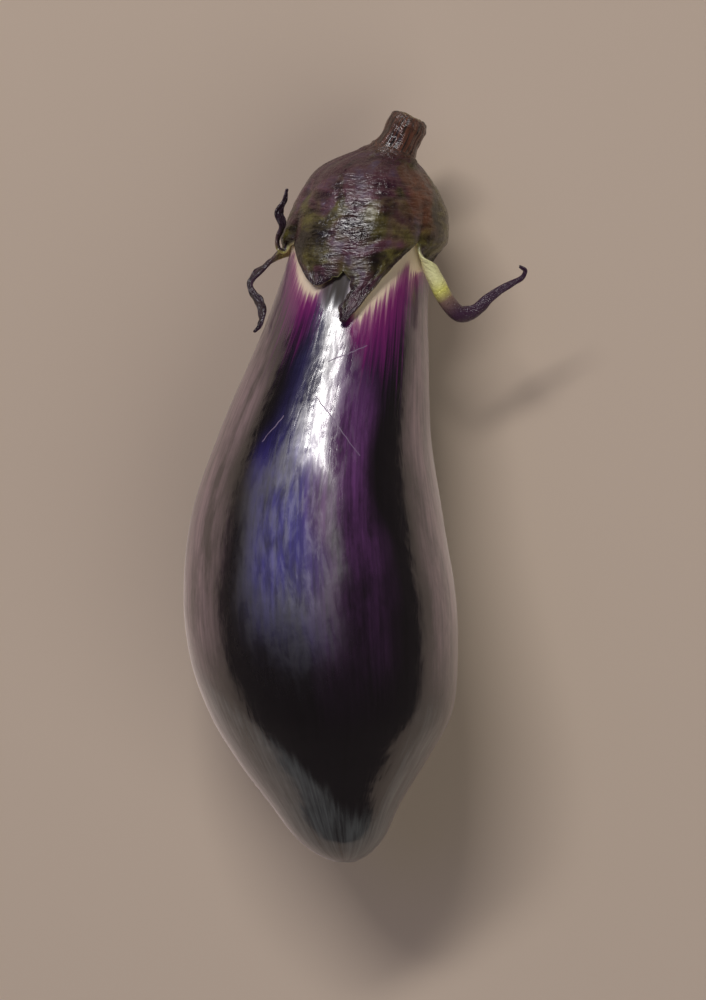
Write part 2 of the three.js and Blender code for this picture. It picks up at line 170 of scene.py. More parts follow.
# a mix node has one set of sockets for each kind of data; these are the numbers of its colours
MIX_FACTOR, MIX_A, MIX_B, MIX_RESULT = 0, 6, 7, 2
print("mid grey in linear values:", round(colour("#808080")[0], 3))

# %% [markdown]
# The rest of the room is nearly dark, so the middle of the fruit stays nearly black between its
# reflections. One soft bluish glow stands in it, high on the left, like a north window behind a
# blind. It has no edge, so the skin shows it as a violet bloom beside the streak.

# %% Room
ROOM_TINT = "#393533"
WINDOW_SIDE = Vector((-0.5, 0.36, 0.76)).normalized()
WINDOW_EDGE = 0.82  # cosine of the angle at which its glow has faded
WINDOW_TINT = "#837db2"

room = bpy.data.worlds.new("room")
room.use_nodes = True
tree = room.node_tree
tree.nodes.clear()
seen_way = add(tree, "ShaderNodeTexCoord").outputs["Generated"]
nearness = add(tree, "ShaderNodeVectorMath", {0: seen_way, 1: WINDOW_SIDE}, operation="DOT_PRODUCT")
glow = add(
    tree,
    "ShaderNodeMapRange",
    {"Value": nearness.outputs["Value"], "From Min": WINDOW_EDGE},
    interpolation_type="SMOOTHERSTEP",
)
room_light = add(
    tree,
    "ShaderNodeMix",
    {MIX_FACTOR: glow.outputs["Result"], MIX_A: colour(ROOM_TINT), MIX_B: colour(WINDOW_TINT)},
    data_type="RGBA",
)
background = add(tree, "ShaderNodeBackground", {"Color": room_light.outputs[MIX_RESULT]})
add(tree, "ShaderNodeOutputWorld", {"Surface": background.outputs["Background"]})
bpy.context.scene.world = room
bpy.context.scene.view_settings.view_transform = "Standard"
print("room", ROOM_TINT, "window", WINDOW_TINT)

# %% [markdown]
# ## Helpers for the shapes
# Both the fruit and its calyx are lofts: a few named sections with a smooth curve through them. The
# curve is a cubic that takes its slope at each section from the sections beside it. A loft could
# also be a Blender curve with a taper, but then its sections would be out of reach for the calyx,
# which must lie on the very same skin.


# %% Curves and easing
def mix(a, b, t):
    return a + (b - a) * t


def ease(x, low, high):
    """Rises smoothly from 0 at low to 1 at high."""
    t = np.clip((x - low) / (high - low), 0, 1)
    return t * t * (3 - 2 * t)


def band(x, rises, holds, falls, ends):
    """Is 0 outside, and 1 between holds and falls."""
    return ease(x, rises, holds) * (1 - ease(x, falls, ends))


def curve_through(places, values):
    """A smooth curve through the values that are given at these places."""
    places = np.array(places, float)
    values = np.array(values, float)
    last = len(places) - 1
    before = np.maximum(np.arange(last + 1) - 1, 0)
    after = np.minimum(np.arange(last + 1) + 1, last)
    slopes = (values[after] - values[before]) / (places[after] - places[before])

    def at(x):
        i = np.clip(np.searchsorted(places, x) - 1, 0, last - 1)
        span = places[i + 1] - places[i]
        t = np.clip((x - places[i]) / span, 0, 1)
        rise = t * t * (3 - 2 * t)
        from_start = t * (1 - t) ** 2 * span * slopes[i]
        from_end = t * t * (t - 1) * span * slopes[i + 1]
        return mix(values[i], values[i + 1], rise) + from_start + from_end

    return at


def unit(vectors):
    return vectors / np.linalg.norm(vectors, axis=-1, keepdims=True)


def grain(points, size):
    """Soft natural noise between about -1 and 1, with lumps of this size, at each of the points."""
    flat = np.asarray(points, float).reshape(-1, 3) / size
    values = np.fromiter((noise.noise(Vector(p)) for p in flat), float, len(flat))
    return values.reshape(np.shape(points)[:-1])


print("a band on its way up and down:", band(np.linspace(0, 4, 9), 0, 1, 3, 4).round(2))


# %% [markdown]
# ## The fruit
# The real fruit swells from a narrow neck to a heavy belly and closes on a blunt blossom end, with a
# slight bend. Each section is nearly round and shifts sideways with the bend. Half widths are
# smoothed as squares, because a square closes on zero in a straight line, which rounds both ends.

# %% The fruit's lines
# distance along the fruit, half width, shift to the side, height of the section's middle
SECTIONS = (
    (0, 0, 11.2, 23.3),
    (4, 11.6, 10, 23.4),
    (14, 18.3, 9.5, 23.9),
    (30, 20.2, 6.1, 25.2),
    (46, 22.9, 3.1, 26.6),
    (72, 28.5, -1.9, 29.8),
    (94, 33.7, -3.8, 32.8),
    (115, 36.2, -3, 35.8),
    (131, 35.5, -1.9, 36.8),
    (145, 32.2, -0.3, 36.8),
    (157.5, 25.2, 0, 36.4),
    (168, 18.1, 0.6, 35.8),
    (178.5, 11.6, 2, 35),
    (185, 0, 3.2, 34.5),
)
LENGTH = SECTIONS[-1][0]
DEPTH = 0.97  # as a share of the width
SWELL = 0.012  # how much fuller the fruit's three sides are, as a share of the half width
section_places, half_widths, side_shifts, middle_heights = zip(*SECTIONS)
half_squared = curve_through(section_places, [half**2 for half in half_widths])
side_at = curve_through(section_places, side_shifts)
height_at = curve_through(section_places, middle_heights)


def half_at(along):
    return np.sqrt(np.maximum(half_squared(along), 0))


def skin_point(azimuth, along):
    """A point of the skin. Azimuth 0 is the upper side and a quarter turn is the side at +X."""
    azimuth, along = np.broadcast_arrays(azimuth, along)
    swell = 1 + SWELL * np.sin(3 * azimuth) * np.sin(np.pi * along / LENGTH)
    half = half_at(along) * swell
    across = side_at(along) + half * np.sin(azimuth)
    above = height_at(along) + half * DEPTH * np.cos(azimuth)
    return np.stack([across, -along, above], axis=-1)


print("widest", round(2 * float(half_at(np.linspace(0, LENGTH, 400)).max()), 1), "mm")

# %% [markdown]
# The calyx is measured by its reach, the distance over the skin from the top of the fruit. A table
# of the neck's profile turns a reach into a distance along the fruit.

# %% Reach over the neck
STEP = 0.002
NECK_LENGTH = 70
NORMAL_TURN, NORMAL_STEP = 0.01, 0.5  # how far apart the points are that give the skin's slope
neck = np.arange(0, NECK_LENGTH, STEP)
neck_reach = np.cumsum(np.hypot(STEP, half_at(neck + STEP) - half_at(neck)))


def along_of(reach):
    return np.interp(reach, neck_reach, neck + STEP)


def skin_normal(azimuth, reach):
    """The direction straight out of the skin at that azimuth and reach."""
    reach = np.maximum(reach, 2 * NORMAL_STEP)
    along = along_of(reach)
    across = skin_point(azimuth + NORMAL_TURN, along) - skin_point(azimuth - NORMAL_TURN, along)
    further, nearer = along_of(reach + NORMAL_STEP), along_of(reach - NORMAL_STEP)
    down = skin_point(azimuth, further) - skin_point(azimuth, nearer)
    return unit(np.cross(down, across))


def over_skin(azimuth, reach, height):
    """A point that hovers at this height over the skin."""
    azimuth, reach = np.broadcast_arrays(azimuth, reach)
    lift = skin_normal(azimuth, reach) * np.asarray(height)[..., None]
    return skin_point(azimuth, along_of(reach)) + lift


print("reach of the whole neck", round(float(neck_reach[-1]), 1), "mm")

# %% [markdown]
# ## The calyx
# A calyx is the flower's green cup, grown on. On a picked fruit it is a fleshy dome that hugs the
# neck and runs out into seven pointed lobes. Three of them have dried, left the fruit and curled.
# It could be sculpted by hand, but a lobe is simply a strip that follows a path, so each is lofted:
# a width, a path and a direction for its face. All share one ring of points, so the whole calyx,
# with the stem that grows out of it, is a single closed sheet.

# %% Notches and lobes
# the notches between the lobes: azimuth in degrees and reach
NOTCHES = ((-64, 31), (-10, 39.5), (44, 31), (110, 30), (170, 31), (230, 30), (262, 30))

# A hugging lobe states the azimuth of its tip, its length and its half widths. A dried one states
# its path: a point, the way its outer face looks there, and its half width.
LOBES = (
    {"columns": 38, "rows": 24, "tip": -27, "length": 8, "lift": 0.6, "halves": (11.3, 9.6, 7.4, 4.6, 1.4)},
    {"columns": 38, "rows": 44, "tip": -2.5, "length": 18, "lift": 1, "halves": (9.8, 5.9, 4, 2.6, 0.9)},
    {
        "columns": 46,
        "rows": 150,
        "leave": (7, 12),
        "dries": (9, 22),
        "fold": ((0, 2, 5, 7, 9, 14), (44, 48.5, 54, 58, 61, 66)),
        "rolled": ((0, 2, 5, 7, 9, 11, 14), (0, 0.07, 0.36, 0.72, 0.93, 1, 1)),
        "path": (
            ((26.8, -23.6, 36.5), (0.82, 0.1, 0.57), 6.6),
            ((26.8, -27.6, 36), (0.87, 0.1, 0.49), 4.8),
            ((28, -32, 35.2), (0.9, 0.1, 0.4), 4.8),
            ((30.5, -36.4, 34.4), (0.9, 0.3, 0.3), 4.8),
            ((33.8, -39.6, 33.6), (0.7, 0.6, 0.3), 4.2),
            ((36.9, -39.2, 33), (0.3, 0.9, 0.3), 2.8),
            ((39.8, -36.9, 32.4), (-0.1, 0.9, 0.3), 2),
            ((42.9, -34, 31.8), (-0.3, 0.9, 0.2), 1.5),
            ((47.2, -31.4, 31.4), (-0.2, 0.9, 0.2), 1.1),
            ((50.1, -29.7, 31.4), (-0.3, 0.9, 0.2), 0.8),
            ((51, -27.9, 31.8), (-0.9, 0.1, 0.2), 0.6),
            ((49.7, -26.9, 32.2), (-0.2, -0.9, 0.2), 0.35),
        ),
    },
    {"columns": 42, "rows": 34, "tip": 138, "length": 15, "lift": 0.5, "halves": (10.9, 8, 5.2, 3, 1)},
    {"columns": 42, "rows": 36, "tip": 203, "length": 16, "lift": 0.5, "halves": (10.9, 7.8, 4.9, 2.8, 0.9)},
    {
        "columns": 22,
        "rows": 100,
        "leave": (0.5, 5),
        "path": (
            ((-11.2, -21.6, 18), (-0.7, 0.6, -0.4), 3),
            ((-14.6, -23.8, 19.8), (-0.5, 0.75, -0.4), 1.9),
            ((-18, -26.6, 22), (-0.5, 0.8, 0.2), 1.7),
            ((-20.7, -29, 23.8), (-0.5, 0.6, 0.6), 1.3),
            ((-21.8, -31.4, 25), (-0.7, 0.1, 0.7), 1),
            ((-21, -33.7, 26), (-0.6, -0.2, 0.8), 1.1),
            ((-19.4, -36, 27.8), (-0.6, 0.1, 0.8), 1.3),
            ((-18.6, -38.4, 29.6), (-0.7, 0.1, 0.7), 1.3),
            ((-18.5, -40.8, 31), (-0.8, 0, 0.6), 1),
            ((-19.2, -42.8, 32), (-0.6, 0.4, 0.6), 0.7),
            ((-20.6, -44.3, 32.4), (-0.3, 0.7, 0.6), 0.35),
        ),
    },
    {
        "columns": 24,
        "rows": 70,
        "leave": (0.5, 2.5),
        "path": (
            ((-11.5, -21.4, 27.8), (-0.9, 0.5, 0.1), 2.2),
            ((-13, -23.3, 28.6), (-0.2, 1, 0.1), 1.3),
            ((-15, -22, 29.4), (0.8, 0.5, 0.2), 1),
            ((-15, -18.8, 30), (0.9, 0.1, 0.3), 1.1),
            ((-13.7, -15.8, 31), (0.8, -0.1, 0.5), 1.2),
            ((-14.5, -12.4, 31.8), (0.7, -0.2, 0.7), 1.3),
            ((-13.1, -9.2, 32.6), (0.8, -0.1, 0.5), 0.8),
            ((-12.4, -6.4, 33.4), (0.7, -0.3, 0.5), 0.35),
        ),
    },
)
print(len(LOBES), "lobes round", sum(lobe["columns"] for lobe in LOBES), "columns")

# %% [markdown]
# The dome lies a third of a millimetre off the skin and is thickest at the top, where it sweeps up
# into the stem. It thins to a leaf's margin at each notch.

# %% The dome's measures
GAP = 0.35
DOME_THICKNESS = 2.5
LOBE_THICKNESS = 1.1
MARGIN_THINNING = 0.55
TAIL_THICKNESS = 0.9
FLARE_REACH = 14
FLARE_THICKNESS = 3.6
THINS_OVER = (12, 24)  # the reach over which the dome thins
GROOVE_DEPTH = 1.6
GROOVE_LENGTH = 9


def base_of(i, share):
    """Where a column of lobe i starts, on the line that joins its notches. Share runs from -1 to 1."""
    left, right = NOTCHES[i], NOTCHES[(i + 1) % len(NOTCHES)]
    turns = 360 * (i + 1 == len(NOTCHES))
    t = (share + 1) / 2
    return np.radians(mix(left[0], right[0] + turns, t)), mix(left[1], right[1], t)


def dome_thickness(share, reach, end_reach):
    """Thins towards each notch, within the last of its way there."""
    groove = GROOVE_DEPTH * np.abs(share) ** 4 * ease(reach, end_reach - GROOVE_LENGTH, end_reach)
    return mix(FLARE_THICKNESS, DOME_THICKNESS, ease(reach, *THINS_OVER)) - groove


print("dome", DOME_THICKNESS, "mm thick,", GROOVE_DEPTH, "mm less at a notch")

# %% [markdown]
# A lobe that hugs the fruit follows its skin. It only needs to know how wide it is at each step
# towards its tip.

# %% Lobes that hug the fruit
LOBE_THINS_BY = 0.7  # the share of its length over which a lobe thins to a leaf


def hugging_lobe(lobe, i):
    """The lobe's half width, and its inner face, its normals and its thickness at each share and step."""
    halves = curve_through(np.linspace(0, 1, len(lobe["halves"])), lobe["halves"])
    middle_azimuth, middle_reach = base_of(i, 0)

    def shape(share, t):
        azimuth, base_reach = base_of(i, share)
        spread = (azimuth - middle_azimuth) * halves(t) / lobe["halves"][0]
        reach = mix(base_reach, middle_reach, ease(t, 0, 1)) + lobe["length"] * t
        azimuth = mix(middle_azimuth, np.radians(lobe["tip"]), ease(t, 0, 1)) + spread
        margin = 1 - MARGIN_THINNING * np.abs(share) ** 3
        at_base = dome_thickness(share, base_reach, base_reach)
        thickness = mix(at_base, LOBE_THICKNESS * margin, ease(t, 0, LOBE_THINS_BY))
        return over_skin(azimuth, reach, GAP + lobe["lift"] * t * t), skin_normal(azimuth, reach), thickness

    return halves, shape, lobe["length"]


print("hugging lobes:", [lobe["length"] for lobe in LOBES if "tip" in lobe], "mm long")

# %% [markdown]
# A dried lobe leaves the fruit. Most of them are only cupped across their width. The right one has
# also rolled up from one margin into a tube, and shows its pale inner face.

# %% Sections of the dried lobes
ROLL_RADIUS = 2.2
ROLL_OPENING = 1.9  # radians round the tube, from its face to the middle of the rolled part
CUP_AT_BASE = 20
CUP_AT_TAIL = 2.2
# from where to where down a lobe its cup deepens, its roll turns and moves over the path
CUPS_OVER, TURNS_OVER, CENTRES_OVER = (0, 16), (8, 14), (8, 18)


def cupped_section(share, half, d):
    """How far across and above its path each point lies, and how far its face has turned."""
    cup = mix(CUP_AT_BASE, CUP_AT_TAIL, ease(d, *CUPS_OVER))
    turn = share * half / cup
    return cup * np.sin(turn), -cup * (1 - np.cos(turn)), turn


def rolled_section(share, half, d, rolled_at):
    """The same for a section that is flat at one margin and rolled into a tube from the other."""
    rolled = 2 * half * rolled_at(d)
    from_back = (1 - share) * half
    flat = 2 * half - rolled
    spread = rolled / (2 * ROLL_RADIUS)
    start = mix(0, ROLL_OPENING - spread, ease(d, *TURNS_OVER))
    turn = start + (from_back - flat) / ROLL_RADIUS
    centring = ROLL_RADIUS * np.sin(spread) * ease(d, *CENTRES_OVER) / np.maximum(spread, 0.01)
    across = centring * np.sin(start + spread) - ROLL_RADIUS * np.sin(turn)
    above = centring * np.cos(start + spread) - ROLL_RADIUS * np.cos(turn)
    is_flat = from_back < flat
    return (
        np.where(is_flat, flat - from_back, across),
        np.where(is_flat, -ROLL_RADIUS, above),
        np.where(is_flat, 0, turn),
    )


print("the rolled lobe is", 2 * ROLL_RADIUS, "mm across")

# %% [markdown]
# The path of a dried lobe is a smooth curve through its stations, and so are the way its face looks
# and its width. Near the base the same section lies on the skin instead. Over the first millimetres
# the one eases into the other, which is where the lobe leaves the fruit.

# %% Lobes that leave the fruit
LEVELS_OVER = (0, 7)  # the slanting line of its base evens out over this distance
TAIL_THINS_OVER = (0, 4)
PATH_STEP = 0.05


def dried_lobe(lobe, i):
    """The same as hugging_lobe gives, for a lobe that bends away along a path of its own."""
    middle_azimuth, middle_reach = base_of(i, 0)
    base_half = half_at(along_of(middle_reach)) * (base_of(i, 1)[0] - middle_azimuth)
    start = over_skin(middle_azimuth, middle_reach, GAP)
    places = np.array([start, *(station[0] for station in lobe["path"])])
    faces = np.array([skin_normal(middle_azimuth, middle_reach), *(station[1] for station in lobe["path"])])
    steps = np.linalg.norm(np.diff(places, axis=0), axis=1)
    steps[0] = places[0][1] - places[1][1]
    distances = np.concatenate([[0], np.cumsum(steps)])
    place_at = [curve_through(distances, places[:, k]) for k in range(3)]
    face_at = [curve_through(distances, faces[:, k]) for k in range(3)]
    half_width = curve_through(distances, [base_half, *(station[2] for station in lobe["path"])])
    is_rolled = "fold" in lobe
    fold_at = curve_through(*lobe["fold"]) if is_rolled else None
    rolled_at = curve_through(*lobe["rolled"]) if is_rolled else None

    def on_path(d):
        return np.stack([place(d) for place in place_at], axis=-1)

    def shape(share, t):
        d = distances[-1] * t
        half = half_width(d)
        if is_rolled:
            across, above, turn = rolled_section(share, half, d, rolled_at)
        else:
            across, above, turn = cupped_section(share, half, d)
        across, above, turn, d = np.broadcast_arrays(across, above, turn, d)
        tangent = unit(on_path(d + PATH_STEP) - on_path(d - PATH_STEP))
        face = np.stack([face(d) for face in face_at], axis=-1)
        face = unit(face - tangent * np.sum(face * tangent, axis=-1, keepdims=True))
        side = np.cross(face, tangent)
        free = on_path(d) + side * across[..., None] + face * above[..., None]
        free_normal = face * np.cos(turn)[..., None] + side * np.sin(turn)[..., None]

        _, base_reach = base_of(i, share)
        reach = mix(base_reach, middle_reach, ease(d, *LEVELS_OVER)) + d
        spread = across if is_rolled else share * half
        line = np.radians(fold_at(d)) if is_rolled else middle_azimuth
        azimuth = line + spread / half_at(along_of(middle_reach + d))
        hug = over_skin(azimuth, reach, GAP + (above + ROLL_RADIUS if is_rolled else 0 * above))
        hug_normal = skin_normal(azimuth, reach)
        if is_rolled:
            sideways = skin_normal(azimuth + np.pi / 2, reach)
            hug_normal = hug_normal * np.cos(turn)[..., None] + sideways * np.sin(turn)[..., None]
        away = ease(d, *lobe["leave"])[..., None]
        at_base = dome_thickness(share, base_reach, base_reach)
        thickness = mix(at_base, TAIL_THICKNESS, ease(d, *TAIL_THINS_OVER))
        return mix(hug, free, away), unit(mix(hug_normal, free_normal, away)), thickness

    return lambda t: half_width(distances[-1] * t), shape, distances[-1]


print("stations of the dried lobes:", [len(lobe["path"]) for lobe in LOBES if "path" in lobe])

# %% [markdown]
# Now the sheet is woven. Every point is laid down once and carries marks that say where it is on the
# plant: how far round, how far from the stem, how near a lobe's margin, on the inner face or not,
# how dry. The relief and the colours both use these marks, so they always agree.

# %% Weaving one closed sheet
MARKS = ("turn", "run", "share", "inner", "dry", "bark", "down")
laid = {"points": [], **{mark: [] for mark in MARKS}}
calyx_faces = []


def lay(points, **marks):
    """Lays down a grid of points with their marks and returns their numbers, in the same grid."""
    points = np.asarray(points, float)
    first = sum(len(block) for block in laid["points"])
    laid["points"].append(points.reshape(-1, 3))
    for mark in MARKS:
        laid[mark].append(np.broadcast_to(marks.get(mark, 0.0), points.shape[:-1]).ravel())
    return first + np.arange(points[..., 0].size).reshape(points.shape[:-1])


def weave(grid, faces_out):
    """Joins a grid of points with four-sided faces."""
    a, b = grid[:-1, :-1].ravel(), grid[1:, :-1].ravel()
    e, d = grid[:-1, 1:].ravel(), grid[1:, 1:].ravel()
    loops = np.stack([a, b, d, e] if faces_out else [a, e, d, b], axis=1)
    calyx_faces.extend(loops.tolist())


def fan(centre, ring, faces_out):
    """Joins a ring of points to one in its middle."""
    for a, b in zip(ring, ring[1:]):
        calyx_faces.append([centre, a, b] if faces_out else [centre, b, a])


print("marks on each point:", ", ".join(MARKS))

# %% [markdown]
# The ring of columns is shared by the stem, the dome and the lobes. The stem is a short, slightly
# waisted stub with a clean cut: its rim has dried and rounded, and the pith has sunk a little.

# %% The shared columns and the stem's lines
column_lobe = np.concatenate([np.full(lobe["columns"], i) for i, lobe in enumerate(LOBES)])
column_share = np.concatenate([np.linspace(-1, 1, lobe["columns"] + 1)[:-1] for lobe in LOBES])
column_base = [base_of(int(i), share) for i, share in zip(column_lobe, column_share)]
column_azimuth = np.array([base[0] for base in column_base])
column_reach = np.array([base[1] for base in column_base])

STEM_NECK = np.array((16.8, 4.6, 24.4))
STEM_AXIS = unit(np.array((0.42, 0.88, 0.12)))
STEM_TO_TOP = unit(np.array((0, 0, 1)) - STEM_AXIS * STEM_AXIS[2])
STEM_TO_RIGHT = np.cross(STEM_AXIS, STEM_TO_TOP)
# distance up the stem and half width, up the side, over the rim and into the cut
STEM_OUTLINE = (
    (0, 5.4),
    (3, 4.9),
    (6, 5.3),
    (7.4, 5.3),
    (8.6, 4.9),
    (9.4, 4.1),
    (9.7, 3.2),
    (9.65, 2.4),
    (9.45, 1.2),
)
STEM_ROWS = 44
FLARE_ROWS = 26
FLARE_RUN = 12
CUT_CENTRE = 9.4


def closed(ring):
    """Repeats the first column after the last."""
    return np.concatenate([ring, ring[..., :1]], axis=-1)


def stem_ring(up, half):
    """A ring round the stem at each of these heights."""
    up, half = np.asarray(up)[..., None, None], np.asarray(half)[..., None, None]
    azimuth = column_azimuth[:, None]
    ring = STEM_TO_RIGHT * np.sin(azimuth) + STEM_TO_TOP * np.cos(azimuth)
    return STEM_NECK + STEM_AXIS * up + ring * half


print(len(column_azimuth), "columns, stem", max(half for _, half in STEM_OUTLINE) * 2, "mm thick")

# %% [markdown]
# The side of the stem is a smooth curve through its outline. The flare under it leaves the stem
# along its axis and lands on the dome along the skin. The bark runs down into the flare and ends
# there.

# %% Stem and flare
STEM_RUN = 16  # what the stem and its cut add to the marks' measure of distance
CUT_STARTS = (0.72, 0.86)  # the share of the outline over which bark gives way to the cut
FOOT_PULL, NECK_PULL = 0.4, 0.3  # how closely the flare follows the skin, and the stem

steps = np.linspace(0, 1, STEM_ROWS + 1)
outline_steps = np.linspace(0, 1, len(STEM_OUTLINE))
stem_up = curve_through(outline_steps, [up for up, _ in STEM_OUTLINE])(steps)
stem_half = curve_through(outline_steps, [half for _, half in STEM_OUTLINE])(steps)
stem_points = stem_ring(stem_up, stem_half)[::-1]
stem_cut = ease(steps, *CUT_STARTS)[::-1]
stem_run = -(steps[::-1] * STEM_RUN)
cut_centre = lay(STEM_NECK + STEM_AXIS * CUT_CENTRE, run=-STEM_RUN - 1, bark=2)


def dome_height(reach):
    return GAP + dome_thickness(column_share, reach, column_reach)


foot = over_skin(column_azimuth, FLARE_REACH, dome_height(FLARE_REACH))
below_foot = over_skin(column_azimuth, FLARE_REACH + 1, dome_height(FLARE_REACH + 1))
neck_ring = stem_ring(0, STEM_OUTLINE[0][1])
pull = np.linalg.norm(foot - neck_ring, axis=-1, keepdims=True) * FOOT_PULL
t = (np.arange(1, FLARE_ROWS) / FLARE_ROWS)[:, None, None]
flare_points = (
    (1 - t) ** 3 * neck_ring
    + 3 * t * (1 - t) ** 2 * (neck_ring - NECK_PULL * pull * STEM_AXIS)
    + 3 * t * t * (1 - t) * (foot + pull * unit(foot - below_foot))
    + t**3 * foot
)
flare_share = t[..., 0]
print("stem and flare:", len(stem_points) + len(flare_points), "rows")

# %% [markdown]
# The dome follows the skin at its own height, from the flare's foot to the line of the notches. Its
# inner face does the same at the height of the gap.

# %% Rows of the dome
DOME_ROWS = 44
INNER_DOME_ROWS = 12
CROWN_ROWS = 6


def dome_rows(rows, height_of):
    """Rows from the flare's foot to the line of notches, at that height over the skin."""
    reach = mix(FLARE_REACH, column_reach, np.linspace(0, 1, rows + 1)[:, None])
    return over_skin(column_azimuth, reach, height_of(reach)), reach


outer_points, outer_reach = dome_rows(DOME_ROWS, dome_height)
outer_run = FLARE_RUN + outer_reach - FLARE_REACH
inner_points, inner_reach = dome_rows(INNER_DOME_ROWS, lambda reach: np.full_like(reach, GAP))
inner_run = FLARE_RUN + inner_reach - FLARE_REACH
crown_reach = FLARE_REACH * (np.arange(1, CROWN_ROWS) / CROWN_ROWS)[:, None]
crown_points = over_skin(column_azimuth, crown_reach, np.full_like(crown_reach, GAP))
print("dome:", len(outer_points), "rows outside,", len(inner_points) + len(crown_points), "inside")

# %% [markdown]
# Growth leaves no corner between stem and dome. So the side of the sheet, from the cut down to the
# notches, is taken as one profile. Its points near the corner move towards the middle of their
# neighbours, again and again, until a soft fillet is left.

# %% The fillet under the stem
FILLET_PASSES = 70
FILLET_STEP = 0.5  # how far a point moves towards the middle at each pass
FILLET_RUN = (-6, -1, 3, 11)  # where along the profile it starts, is full, eases off and ends

profile = np.concatenate([stem_points, flare_points, outer_points])
dome_run = np.full(DOME_ROWS + 1, np.inf)  # the dome lies beyond the fillet
profile_run = np.concatenate([stem_run, flare_share[:, 0] * FLARE_RUN, dome_run])
soften = FILLET_STEP * band(profile_run, *FILLET_RUN)[1:-1, None, None]
for _ in range(FILLET_PASSES):
    between = (profile[:-2] + profile[2:]) / 2
    profile[1:-1] += soften * (between - profile[1:-1])
stem_points, flare_points = profile[: STEM_ROWS + 1], profile[STEM_ROWS + 1 : STEM_ROWS + FLARE_ROWS]
print("rows in the fillet:", int((soften > 0).sum()))

# %% [markdown]
# Now the rows are laid down and woven: the outer face from the cut to the notches, and the inner one
# from the crown of the fruit to the same notches.

# %% The two faces of the dome
STEM_DRYNESS = 0.3
BARK_ENDS = (0, 0.55)  # the share of the flare over which bark gives way to flesh

stem_grid = lay(
    stem_points,
    turn=column_azimuth,
    run=stem_run[:, None],
    share=column_share,
    bark=1 + stem_cut[:, None],
    dry=STEM_DRYNESS,
)
flare_grid = lay(
    flare_points,
    turn=column_azimuth,
    run=flare_share * FLARE_RUN,
    share=column_share,
    bark=1 - ease(flare_share, *BARK_ENDS),
)
dome_grid = lay(outer_points, turn=column_azimuth, run=outer_run, share=column_share)
inner_grid = lay(inner_points, turn=column_azimuth, run=inner_run, share=column_share, inner=1)
crown_grid = lay(crown_points, turn=column_azimuth, run=crown_reach, inner=1)
crown_centre = lay(over_skin(0.0, 0.0, GAP), inner=1)

fan(int(cut_centre), closed(stem_grid[0]).tolist(), True)
weave(closed(np.concatenate([stem_grid, flare_grid, dome_grid])), True)
fan(int(crown_centre), closed(crown_grid[0]).tolist(), False)
weave(closed(np.concatenate([crown_grid, inner_grid])), False)
print("faces so far:", len(calyx_faces))

# %% [markdown]
# A lobe's margins are rounded like a leaf's edge: the strip between its faces bulges outwards. Two
# lobes share the strip at the notch between them, so the sheet stays closed there.

# %% Rounded margins
EDGE_POINTS = 3
NOTCH_RUN = 30
edge_turn = np.pi * np.arange(1, EDGE_POINTS + 1) / (EDGE_POINTS + 1)
edge_inner = (1 - np.cos(edge_turn)) / 2
notch_columns = np.concatenate([[0], np.cumsum([lobe["columns"] for lobe in LOBES])])
notch_edges = []
for column in notch_columns[:-1]:
    edge = mix(outer_points[-1][column], inner_points[-1][column], edge_inner[:, None])
    notch_marks = {"turn": column_azimuth[column], "run": NOTCH_RUN, "share": -1}
    notch_edges.append(lay(edge, inner=edge_inner, **notch_marks))


def rounded_edge(top, under, beside, bulge):
    """Points of a half round from the top edge to the one under it, bulging away from what is beside."""
    middle, up = (top + under) / 2, (top - under) / 2
    outwards = middle - beside
    slant = np.sum(outwards * up, axis=-1, keepdims=True) / np.sum(up * up, axis=-1, keepdims=True)
    outwards = unit(outwards - up * slant) * bulge[..., None]
    turn = edge_turn[:, None]
    middle, up, outwards = middle[:, None], up[:, None], outwards[:, None]
    return middle + up * np.cos(turn) + outwards * np.sin(turn)


print(len(notch_edges), "notches,", EDGE_POINTS, "points round each margin")

# %% [markdown]
# Each lobe starts on the dome's last row, so it needs no seam. Its faces are trimmed by as much as
# its margins bulge. No lobe has grown quite evenly, so its width wavers a little.

# %% The lobes
MARGIN_WAVER, WAVER_MM = 0.3, 2.5
WAVER_STARTS = (1, 5)  # down the lobe
WAVER_APART, MARGINS_APART = 50, 9  # noise is read this far apart, so no two margins waver alike
BULGE_STARTS = (0, 3)
DRIES_OVER = (0, 14)  # from where to where down a lobe it dries
HUGGING_DRYNESS, TIP_DRYNESS = 0.25, 0.55
TIP_LENGTH, TIP_TAPER = 4, 0.55


